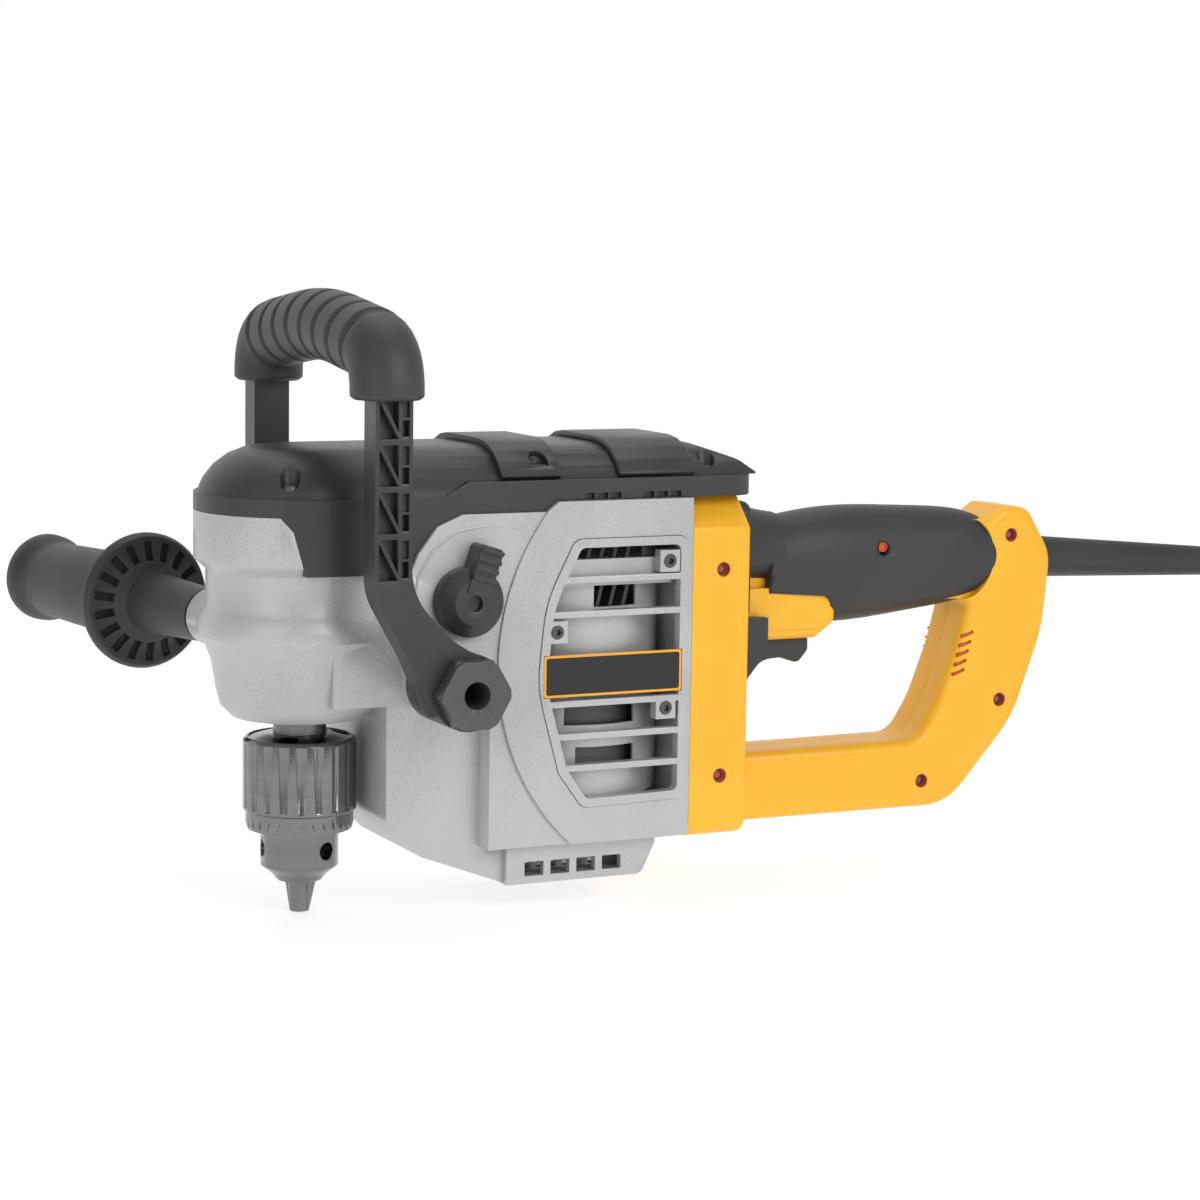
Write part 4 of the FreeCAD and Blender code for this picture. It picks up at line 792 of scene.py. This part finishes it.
# ---------------------------------------------------------------- shared small parts
def merged(name: str, finish: Finish, *meshes: bpy.types.Mesh) -> bpy.types.Object:
    """One piece from several meshes that may cross."""
    form = bmesh.new()
    for mesh in meshes:
        form.from_mesh(mesh)
        bpy.data.meshes.remove(mesh)
    mesh = bpy.data.meshes.new(name)
    form.to_mesh(mesh)
    form.free()
    return new_piece(name, mesh, finish)


def screw_head(radius: float, height: float) -> bpy.types.Mesh:
    """A pan head with a six-lobed socket, its face at z 0 towards +Z, in millimetres."""
    head = lathed("head", [(0, -height), (radius, -height), (radius, -0.35 * height),
                           (0.82 * radius, -0.08 * height), (0.5 * radius, 0), (0, 0)], steps=36)
    lobes, points = 6, 48
    socket = []
    for step in range(points):
        angle = FULL_TURN * step / points
        reach = radius * (0.46 + 0.07 * math.cos(lobes * angle))
        socket.append((reach * math.cos(angle), reach * math.sin(angle)))
    star = Slab(socket, -0.6 * height, height, soft_low=0.0, soft_high=0.0).mesh("socket")
    holder = shown(bpy.data.objects.new("head", head))
    mesh = carved(holder, [turned_over(star, LAY_FLAT)]).data
    bpy.data.objects.remove(holder)
    return mesh


def facing(side: int) -> Euler:
    """The turn that points a template's +Z at the tool's right, +1, or left, -1."""
    return Euler((math.radians(-90 * side), 0, 0))


def well_cup(radius: float, depth: float) -> bpy.types.Mesh:
    """The lining of a recess, its mouth at z 0 towards +Z."""
    wall, rim = 0.35, -0.2
    return lathed("cup", [(0, -depth - wall), (radius + wall, -depth - wall), (radius + wall, rim),
                          (radius, rim), (radius, -depth), (0, -depth)], steps=36)


def peg(radius: float, low: float, high: float, at: Point, side: int) -> bpy.types.Mesh:
    """A round cutter through a side face."""
    place = Matrix.Translation(mm(at[0], 0, at[1])) @ facing(side).to_matrix().to_4x4()
    return lathed("peg", [(0, low), (radius, low), (radius, high), (0, high)], place, steps=36)


# ---------------------------------------------------------------- the mains lead
@dataclass
class MainsLead:
    """The strain relief, the free lead with its coil on the floor, and the plug."""

    shop: Workshop
    radius: float = 4.5
    leave: Point = (510.789, 0.0, 139.683)
    drop: float = -3.4
    coil: Point = (545.0, -63.0)
    outer_turn: float = 63.0
    inner_turn: float = 36.0
    turns: float = 6.5
    climb: float = 0.25
    turn_points: int = 16
    plug_at: Point = (580.0, -132.0, 14.0)
    plug_way: Point = (0.952926, -0.303204, 0.0)

    def route(self) -> list[Vector]:
        """The free stretch from the strain relief to the floor."""
        bends = ((537.0, 138.0), (563.5, 129.0), (585.5, 110.0), (598.5, 84.0), (600.5, 55.0),
                 (590.0, 28.5), (569.5, 10.5))
        return [mm(*self.leave), *(mm(x, 0, z) for x, z in bends)]

    def coil_line(self) -> list[Vector]:
        """Two layers of turns: inwards on the floor, then outwards on top of them."""
        line = []
        pitch = 2 * self.radius
        inwards = (self.outer_turn - self.inner_turn) / pitch
        outwards_from = inwards + self.climb
        for step in range(int(self.turns * self.turn_points) + 1):
            turns = step / self.turn_points
            if turns <= inwards:
                reach, lift = self.outer_turn - pitch * turns, self.radius
            elif turns <= outwards_from:
                reach, lift = self.inner_turn, self.radius + pitch * (turns - inwards) / self.climb
            else:
                reach = min(self.inner_turn + pitch * (turns - outwards_from), self.outer_turn)
                lift = self.radius + pitch
            angle = math.radians(90) + FULL_TURN * turns
            line.append(mm(self.coil[0] + reach * math.cos(angle),
                           self.coil[1] + reach * math.sin(angle), lift))
        return line

    def build(self) -> None:
        tail = [mm(557, -126.5, 13.6), mm(569, -128.5, 14), mm(*self.plug_at)]
        points = [*self.route(), *self.coil_line(), *tail]
        curve = bpy.data.curves.new("lead_finished", "CURVE")
        curve.dimensions = "3D"
        spline = curve.splines.new("NURBS")
        spline.points.add(len(points) - 1)
        for point, at in zip(spline.points, points):
            point.co = (*at, 1.0)
        spline.order_u = 3
        spline.use_endpoint_u = True
        curve.resolution_u = 6
        curve.bevel_depth = self.radius * 0.001
        curve.bevel_resolution = 5
        curve.use_fill_caps = True
        curve.materials.append(RUBBER.material())
        lead = shown(bpy.data.objects.new("lead_finished", curve))
        self.shop.mount(lead, "case", "black_rubber", "lead", "lead_coil")
        boot, plug, blades = self.boot(), self.plug(), self.blades()

    def boot(self) -> bpy.types.Object:
        """The tapered strain relief."""
        slope = math.radians(self.drop)
        axis = Vector((math.cos(slope), 0, math.sin(slope)))
        place = along(axis, mm(391.0, 0, 146.8))
        profile = [(0, -25), (7.9, -25), (7.9, 0), (9.6, 0), (10.2, 0.6), (10.25, 2.0)]
        profile += [(10.2 - 3.2 * share / 10, 2 + 117.2 * share / 10) for share in range(1, 11)]
        profile += [(6.6, 120.0), (4.7, 120.0), (4.4, 118), (0, 118)]
        boot = new_piece("boot_finished", lathed("boot_finished", profile, place, 64), RUBBER)
        return self.shop.mount(boot, "case", "black_rubber", "lead_boot")

    def plug_place(self) -> Matrix:
        """Where the plug's axis, local Z, lies."""
        return along(Vector(self.plug_way), mm(*self.plug_at))

    def plug(self) -> bpy.types.Object:
        """The plug's moulded body, with finger grooves."""
        profile = [(0, -2), (5.8, -2), (6.2, 0)]
        profile += [(6.2 + 6.6 * math.sin(math.radians(9 * step)) ** 1.5, 1.2 * step)
                    for step in range(1, 11)]
        profile += [(13.0 - (0.9 if step % 4 in (1, 2) else 0.0), 14 + 1.1 * step) for step in range(21)]
        profile += [(13.0, 44.6), (12.5, 45.6), (11.8, 46.0), (0, 46.0)]
        mesh = lathed("plug_finished", profile, self.plug_place(), 72)
        return self.shop.mount(new_piece("plug_finished", mesh, RUBBER), "case", "black_rubber", "plug")

    def blades(self) -> bpy.types.Object:
        """The plug's two flat blades."""
        meshes = []
        for middle in (-6.35, 6.35):
            mesh = cut_block((-0.75, middle - 3.1, 45.0), (0.75, middle + 3.1, 62.8))
            mesh.transform(self.plug_place())
            meshes.append(mesh)
        return self.shop.mount(merged("plug_blades", ALLOY, *meshes), "case", "gear_steel")


# ---------------------------------------------------------------- the casing
HANDLE_SCREWS: tuple[Point, ...] = ((318, 40), (362, 78), (366, 160))
FLANGE_SCREWS: tuple[Point, ...] = ((187.5, 153.5), (187.5, 57.5))


@dataclass
class Casing:
    """Castings, covers, grilles, badges and their screws."""

    shop: Workshop
    motor_x: float = 129.625
    spine_z: float = 170.0
    band_lap: float = 0.6

    def cover_band(self, name: str, low_x: float, high_x: float, lift: float) -> bpy.types.Object:
        """A raised hoop across the cover, made from the cover's own outer skin."""
        form = bmesh.new()
        form.from_mesh(self.shop.nodes["top_cover"].data)
        bmesh.ops.remove_doubles(form, verts=form.verts, dist=NODE_POINT)
        for x, way in ((low_x, -1), (high_x, 1)):
            every = [*form.verts, *form.edges, *form.faces]
            bmesh.ops.bisect_plane(form, geom=every, plane_co=mm(x, 0, 0), plane_no=(way, 0, 0),
                                   clear_outer=True)
        form.normal_update()
        inner = []
        for face in form.faces:
            middle = face.calc_center_median()
            out = Vector((0, middle.y, middle.z - self.spine_z * 0.001)).normalized()
            if face.normal.dot(out) < 0.5 or face.normal.z < 0.04:
                inner.append(face)
        bmesh.ops.delete(form, geom=inner, context="FACES")
        mesh = bpy.data.meshes.new(name)
        form.to_mesh(mesh)
        form.free()
        band = new_piece(name, mesh, BLACK)
        thick = band.modifiers.new("lift", "SOLIDIFY")
        total = lift + self.band_lap
        thick.thickness, thick.offset = total * 0.001, lift / total
        soft = band.modifiers.new("rounding", "BEVEL")
        soft.width, soft.segments, soft.limit_method = 0.0009, 2, "ANGLE"
        soft.angle_limit = math.radians(50)
        return self.shop.mount(settled(band), "case", "black_plastic")

    def slots(self) -> list[bpy.types.Mesh]:
        """Cutters of the upper housing's two rows of three slots on each side."""
        count, gap, half_depth = 3, 0.8, 2.2
        cutters = []
        for face in (-47.3, 47.3):
            for low, high in ((116.6, 136.6), (146.2, 167.0)):
                run = (high - low) / count
                for step in range(count):
                    start = low + step * run
                    cutters.append(cut_block((start + gap, face - half_depth, 187.6),
                                             (start + run - gap, face + half_depth, 190.2)))
        return cutters

    def shells(self) -> None:
        """The gear case, housings and grilles."""
        shop = self.shop
        shop.round_off("gear_case", "case", SILVER, 0.7)
        carved(shop.round_off("upper_housing", "case", BLACK, 0.5), self.slots())
        shop.round_off("top_cover", "case", BLACK, 0.7)
        for name, width in (("motor_housing", 0.7), ("vent_cage", 0.5), ("left_grille", 0.45),
                            ("right_grille", 0.45)):
            shop.round_off(name, "case", SILVER, width)
        for name, low, high in (("front_hoop", 78.0, 107.0), ("rear_hoop", 136.0, 175.0)):
            self.cover_band(name, low, high, 2.6)
        shop.dress(ALLOY, "bearing_plate", "motor_bracket")

    def barrel(self) -> None:
        """The motor's silver barrel behind the grilles, with its louvred windows."""
        place = Matrix.Translation(mm(self.motor_x, 0, 0))
        inner, outer, low, high = 42.4, 44.0, 50.5, 170.0
        skin = [(inner, low), (outer, low), (outer, high), (inner, high), (inner, low)]
        barrel = new_piece("motor_barrel", lathed("motor_barrel", skin, place, 120), SILVER)
        windows = ((117, 153, 152, 165), (124.5, 138, 147, 149), (117, 64, 147, 74), (112, 84, 147, 93))
        carved(barrel, [cut_block((low_x, -60, low_z), (high_x, 60, high_z))
                        for low_x, low_z, high_x, high_z in windows])
        self.shop.mount(barrel, "case", "silver_paint")
        bar = Slab([(-0.9, -8), (0.9, -8), (0.9, 8), (-0.9, 8)], -0.7, 0.7, soft_low=0.2, soft_high=0.2)
        bars = [Copy(mm(x, face, z), Euler((0, math.radians(14), 0)))
                for face in (-41.0, 41.0) for z in (143.5, 159.0) for x in (122, 128.5, 135, 141.5)]
        louvres = CopyTree.scatter("motor_louvres", bar.mesh("bar"), bars, BLACK)
        self.shop.mount(louvres, "case", "black_plastic")

    def recess_rim(self) -> None:
        """The raised rim round the speed lever's recess, on both sides."""
        corners = [(35.5, 150), (36.5, 156, 4), (43, 167, 8), (54, 175, 12), (70, 177.5, 20),
                   (88, 175.5)]
        meshes = []
        for face in (-48.6, 48.6):
            line = [mm(x, face, z) for x, z in rounded(corners, 5)]
            meshes.append(swept("rim", line, lambda share, angle: 0.00075, 16, Vector((0, 1, 0))))
        self.shop.mount(merged("recess_rims", SILVER, *meshes), "case", "silver_paint")

    def badges(self) -> None:
        """A plain black plate with a thin amber border on each side; no lettering."""
        low_x, low_z, high_x, high_z = 97.25, 98.75, 166.25, 117.75
        corner, sunk, border, proud = 1.2, 0.9, 1.1, 0.12
        plates, borders = [], []
        for side in (-1, 1):
            face = side * 50.4
            for inset, meshes, reach in ((0.0, borders, 0.0), (border, plates, proud)):
                left, right, foot, head = low_x + inset, high_x - inset, low_z + inset, high_z - inset
                outline = rounded([(left, foot, corner), (right, foot, corner), (right, head, corner),
                                   (left, head, corner)], 4)
                ends = sorted((face - side * sunk, face + side * reach))
                meshes.append(Slab(outline, *ends, soft_low=0.1, soft_high=0.1).mesh("plate"))
        self.shop.mount(merged("badge_borders", AMBER, *borders), "case", "badge")
        self.shop.mount(merged("badge_plate_faces", BADGE, *plates), "case", "badge", "badge_plates")

    def screws(self) -> None:
        """All the case's screws as copies of one six-lobed head."""
        rows = ((51.3, ((159.5, 158.5), (103.5, 128.3), (158.5, 91))), (47.6, FLANGE_SCREWS),
                (14.8, HANDLE_SCREWS))
        sides = [Copy(mm(x, side * face, z), facing(side))
                 for side in (-1, 1) for face, places in rows for x, z in places]
        heads = CopyTree.scatter("side_screws", screw_head(3.2, 2.2), sides, BOLT)
        self.shop.mount(heads, "case", "bolt_steel", "case_screws")
        tops = [Copy(mm(x, side * y, z), Euler((0, 0, 0))) for side in (-1, 1)
                for x, y, z in ((-18, 36.5, 196.6), (98, 37.5, 201.6), (184, 36, 200.6))]
        heads = CopyTree.scatter("cover_screws", screw_head(3.6, 4.0), tops, BOLT)
        self.shop.mount(heads, "case", "bolt_steel")

    def build(self) -> None:
        """Make every piece of the casing."""
        self.shells()
        self.barrel()
        self.recess_rim()
        self.badges()
        self.screws()


# ---------------------------------------------------------------- the rear handle
@dataclass
class RearHandle:
    """The yellow D-handle with its rubber grip, trigger and reversing lever."""

    shop: Workshop
    half_width: float = 17.0
    flange_half: float = 50.0
    well_radius: float = 3.5
    well_depth: float = 3.4
    slots: tuple[Point, ...] = tuple((336.5 + 1.15 * step, 93 + 4.6 * step) for step in range(5))
    slot_lean: float = -22.0

    def loop(self) -> list[Point]:
        """The D's outline, open towards the flange."""
        outside = [(200, 27), (335, 26.5, 30), (372, 68, 60), (388, 112, 80), (391.5, 150, 22),
                   (377, 173, 9), (362, 174.5, 4), (352, 168), (226, 166), (200, 178)]
        inside = [(200, 113.5), (257, 113.5, 4), (268, 121, 6), (268, 129), (343.5, 129, 4),
                  (337, 104, 60), (327, 78, 60), (316, 60.5, 14), (200, 60)]
        return rounded(outside + inside, 10)

    def half(self, side: int, word: str) -> None:
        """One half: bar, flange, screw wells and the strut's slots."""
        ends = sorted((0.0, side * self.half_width))
        soft = (5.0, 0.25) if side < 0 else (0.25, 5.0)
        bar = Slab(self.loop(), *ends, soft_low=soft[0], soft_high=soft[1]).mesh("bar")
        piece = new_piece(f"{word}_handle_finished", bar, YELLOW)
        cutters = [peg(self.well_radius, self.half_width - self.well_depth, 30, at, side)
                   for at in HANDLE_SCREWS]
        face = side * self.half_width
        turn = Matrix.Rotation(math.radians(self.slot_lean), 3, "Y")
        for x, z in self.slots:
            cutters.append(cut_block((x - 2.6, face - 2.4, z - 0.85), (x + 4.8, face + 2.4, z + 0.85),
                                     turn))
        core, clear = 12.0, 30.0
        low, high = sorted((side * core, side * clear))
        cutters.append(cut_block((198.0, low, 139.0), (266.0, high, 190.0)))
        cutters.append(cut_block((264.0, low, 128.4), (336.0, high, 190.0)))
        cutters.append(peg(22.5, core, clear, (334.0, 150.0), side))
        carved(piece, cutters)
        shaded(piece.data)
        self.shop.mount(piece, "case", "yellow_plastic", f"{word}_handle_half")
        self.flange(side, word)

    def flange(self, side: int, word: str) -> None:
        """The wide flange that clamps the motor housing, with its two wells."""
        wide = side * self.flange_half
        corners = [(0.0, 29.0), (wide, 29.0, 9), (wide, 172.8, 3), (side * 36.0, 186.8, 3), (0.0, 186.8)]
        plate = Slab(rounded(corners, 6), 171.5, 202.0, soft_low=0.6, soft_high=3.0).mesh("flange")
        piece = new_piece(f"{word}_flange", turned_over(plate, SWAP_XY), YELLOW)
        carved(piece, [peg(self.well_radius, self.flange_half - self.well_depth, 60, at, side)
                       for at in FLANGE_SCREWS])
        shaded(piece.data)
        self.shop.mount(piece, "case", "yellow_plastic")

    def wells(self) -> None:
        """Orange-red linings of the screw wells and strut slots: painted shade inside the recesses of
        the yellow plastic.
        """
        faces = ((self.half_width, HANDLE_SCREWS), (self.flange_half, FLANGE_SCREWS))
        wells = [Copy(mm(x, side * face, z), facing(side))
                 for side in (-1, 1) for face, places in faces for x, z in places]
        turn = Matrix.Rotation(math.radians(self.slot_lean), 3, "Y")
        # painted shade: an orange-red box sunk in each strut slot, and orange-red cups in the screw
        # wells
        slot_shade = cut_block((-2.6, -2.0, -0.6), (2.6, 2.0, 0.6), turn)
        rows = [Copy(mm(x + 1.1, face, z), Euler((0, 0, 0)))
                for face in (-14.2, 14.2) for x, z in self.slots]
        self.fill("strut_slots", slot_shade, rows)
        self.fill("well_linings", well_cup(3.15, 2.6), wells)

    def fill(self, name: str, template: bpy.types.Mesh, copies: Sequence[Copy]) -> None:
        """Put copies of a template in the yellow plastic, in the orange-red of painted recess shade."""
        self.shop.mount(CopyTree.scatter(name, template, copies, PAINTED_RECESS_SHADE), "case", "yellow_plastic")

    def grip(self) -> None:
        """The rubber grip and the rubber behind the flange."""
        self.shop.round_off("handle_grip", "case", RUBBER, 0.0, angle=50.0)
        outline = rounded([(-40, 128, 5), (40, 128, 5), (40, 183, 8), (-40, 183, 8)], 6)
        pad = turned_over(Slab(outline, 201.6, 208.0, soft_low=0.3, soft_high=2.6).mesh("pad"), SWAP_XY)
        self.shop.mount(new_piece("flange_rubber", pad, RUBBER), "case", "black_rubber")
        line = [mm(204 + 3.0 * step, 0, 161 - 0.41 * step) for step in range(12)]

        def neck(share: float, angle: float) -> float:
            """An oval that narrows from the flange to the grip."""
            wide = 20.0 + 6.0 * (1 - share) ** 3
            high = 17.5 + 4.5 * (1 - share) ** 2
            return 0.001 / math.sqrt((math.cos(angle) / wide) ** 2 + (math.sin(angle) / high) ** 2)

        collar = swept("grip_neck", line, neck, 64, Vector((0, 1, 0)))
        self.shop.mount(new_piece("grip_neck", collar, RUBBER), "case", "black_rubber")
        # painted shade: orange-red cups in the grip's two small holes
        holes = [Copy(mm(290, side * 21.2, 157), facing(side)) for side in (-1, 1)]
        self.fill("grip_pins", well_cup(1.9, 1.2), holes)

    def controls(self) -> None:
        """The trigger, its switch and the reversing lever."""
        outline = [(207, 118.5), (257, 118.5), (257.5, 107, 3), (252, 100.5, 4), (243, 103.8, 8),
                   (232, 103, 10), (222, 91, 8), (214, 82, 4), (207, 84)]
        blade = Slab(rounded(outline, 6), -8.6, 8.6, soft_low=2.2, soft_high=2.2).mesh("trigger")
        trigger = new_piece("trigger_finished", blade, BLACK)
        self.shop.mount(trigger, "trigger", "black_plastic", "trigger")
        self.shop.round_off("reversing_lever", "reversing_lever", BLACK, 0.6)
        self.shop.dress(BLACK, "switch_body")
        self.shop.dress(STEEL, "trigger_spring")

    def build(self) -> None:
        """Make the whole handle."""
        for side, word in ((-1, "left"), (1, "right")):
            self.half(side, word)
        self.wells()
        self.grip()
        self.controls()


# ---------------------------------------------------------------- the other handles
@dataclass
class BailHandle:
    """The bail over the gear case: frame, ribbed grip and pivot bolts."""

    shop: Workshop
    middle_x: float = 11.5
    reach: float = 15.9
    soft_end: float = 0.012
    line_steps: int = 260

    def line(self) -> list[Vector]:
        """The grip's middle line, evenly spaced."""
        corners = [(-74, 235.2), (-74, 256, 20), (0, 265.4, 180), (74, 256, 20), (74, 235.2)]
        coarse = [mm(self.middle_x, y, z) for y, z in rounded(corners, 14)]
        lengths = [0.0]
        for a, b in zip(coarse, coarse[1:]):
            lengths.append(lengths[-1] + (b - a).length)
        fine, index = [], 0
        for step in range(self.line_steps + 1):
            goal = lengths[-1] * step / self.line_steps
            while index < len(lengths) - 2 and lengths[index + 1] < goal:
                index += 1
            run = lengths[index + 1] - lengths[index]
            share = (goal - lengths[index]) / run if run else 0.0
            fine.append(coarse[index].lerp(coarse[index + 1], share))
        return fine

    def build(self) -> None:
        """Make the bail and its pivots."""
        line = self.line()
        grooves = [-60 + 16.9 * step for step in range(8)]

        def section(share: float, angle: float) -> float:
            """Radius at a place: round, with soft ends and grooves on the front and underside."""
            at = line[min(int(share * (len(line) - 1)), len(line) - 1)]
            reach = self.reach
            end = min(share, 1 - share)
            if end < self.soft_end:
                reach -= 2.0 * (1 - end / self.soft_end) ** 2
            near = min(abs(at.y * 1000 - groove) for groove in grooves)
            depth = 1.9 * max(0.0, 1 - (near / 2.4) ** 2)
            front = math.cos(angle - math.radians(200))
            return (reach - depth * min(1.0, max(0.0, 1.6 * (front + 0.45)))) * 0.001

        sleeve = new_piece("bail_sleeve", swept("bail_sleeve", line, section, 72), RUBBER, 48.0)
        self.shop.mount(sleeve, "bail", "black_rubber", "bail_grip")
        self.shop.round_off("bail_frame", "bail", FRAME_BLACK, 0.5)
        self.shop.round_off("pivot_bolts", "case", BOLT, 0.8)


@dataclass
class SideHandle:
    """The screwed-in side handle."""

    shop: Workshop

    def build(self) -> None:
        """Make the grip; its stud keeps its CAD shape."""
        self.shop.round_off("side_grip", "side_handle", RUBBER, 0.5, angle=40.0)
        self.shop.dress(STEEL, "side_stud")


@dataclass
class Drive:
    """The speed lever, the chuck and everything that turns."""

    shop: Workshop

    def build(self) -> None:
        """Finish the lever and the chuck, and give the inner parts their metals."""
        shop = self.shop
        shop.round_off("shift_lever", "speed_lever", BLACK, 0.6)
        shop.round_off("chuck_sleeve", "sleeve", CHUCK, 0.35)
        shop.round_off("chuck_body", "spindle", CHUCK, 0.3)
        shop.dress(CHUCK, "chuck_nut")
        shop.dress(STEEL, "jaw_1", "jaw_2", "jaw_3", "spindle", "spindle_bearings", "shaft_bearings",
                   "armature_bearings", "armature_shaft", "first_shaft", "first_gear", "second_shaft",
                   "second_low_pinion", "second_driven_gear", "second_high_gear", "shift_collar",
                   "shift_fork", "spindle_low_gear", "spindle_high_gear", "left_brush_spring",
                   "right_brush_spring")
        shop.dress(IRON, "field_stack", "armature_core")
        shop.dress(COPPER, "field_coils", "brush_holders", "commutator")
        shop.dress(CARBON, "left_brush", "right_brush")
        shop.dress(BLACK, "motor_fan")
        shop.dress(RUBBER, "spindle_seal")


def main() -> None:
    """Build every sub-assembly round the frame."""
    shop = Workshop(frame)
    Studio().build()
    MainsLead(shop).build()
    for part in (Casing(shop), RearHandle(shop), BailHandle(shop), SideHandle(shop), Drive(shop)):
        LOG.info("building %s", type(part).__name__)
        part.build()


if __name__ == "__main__":
    logging.basicConfig(level=logging.INFO, format="%(message)s")
    main()
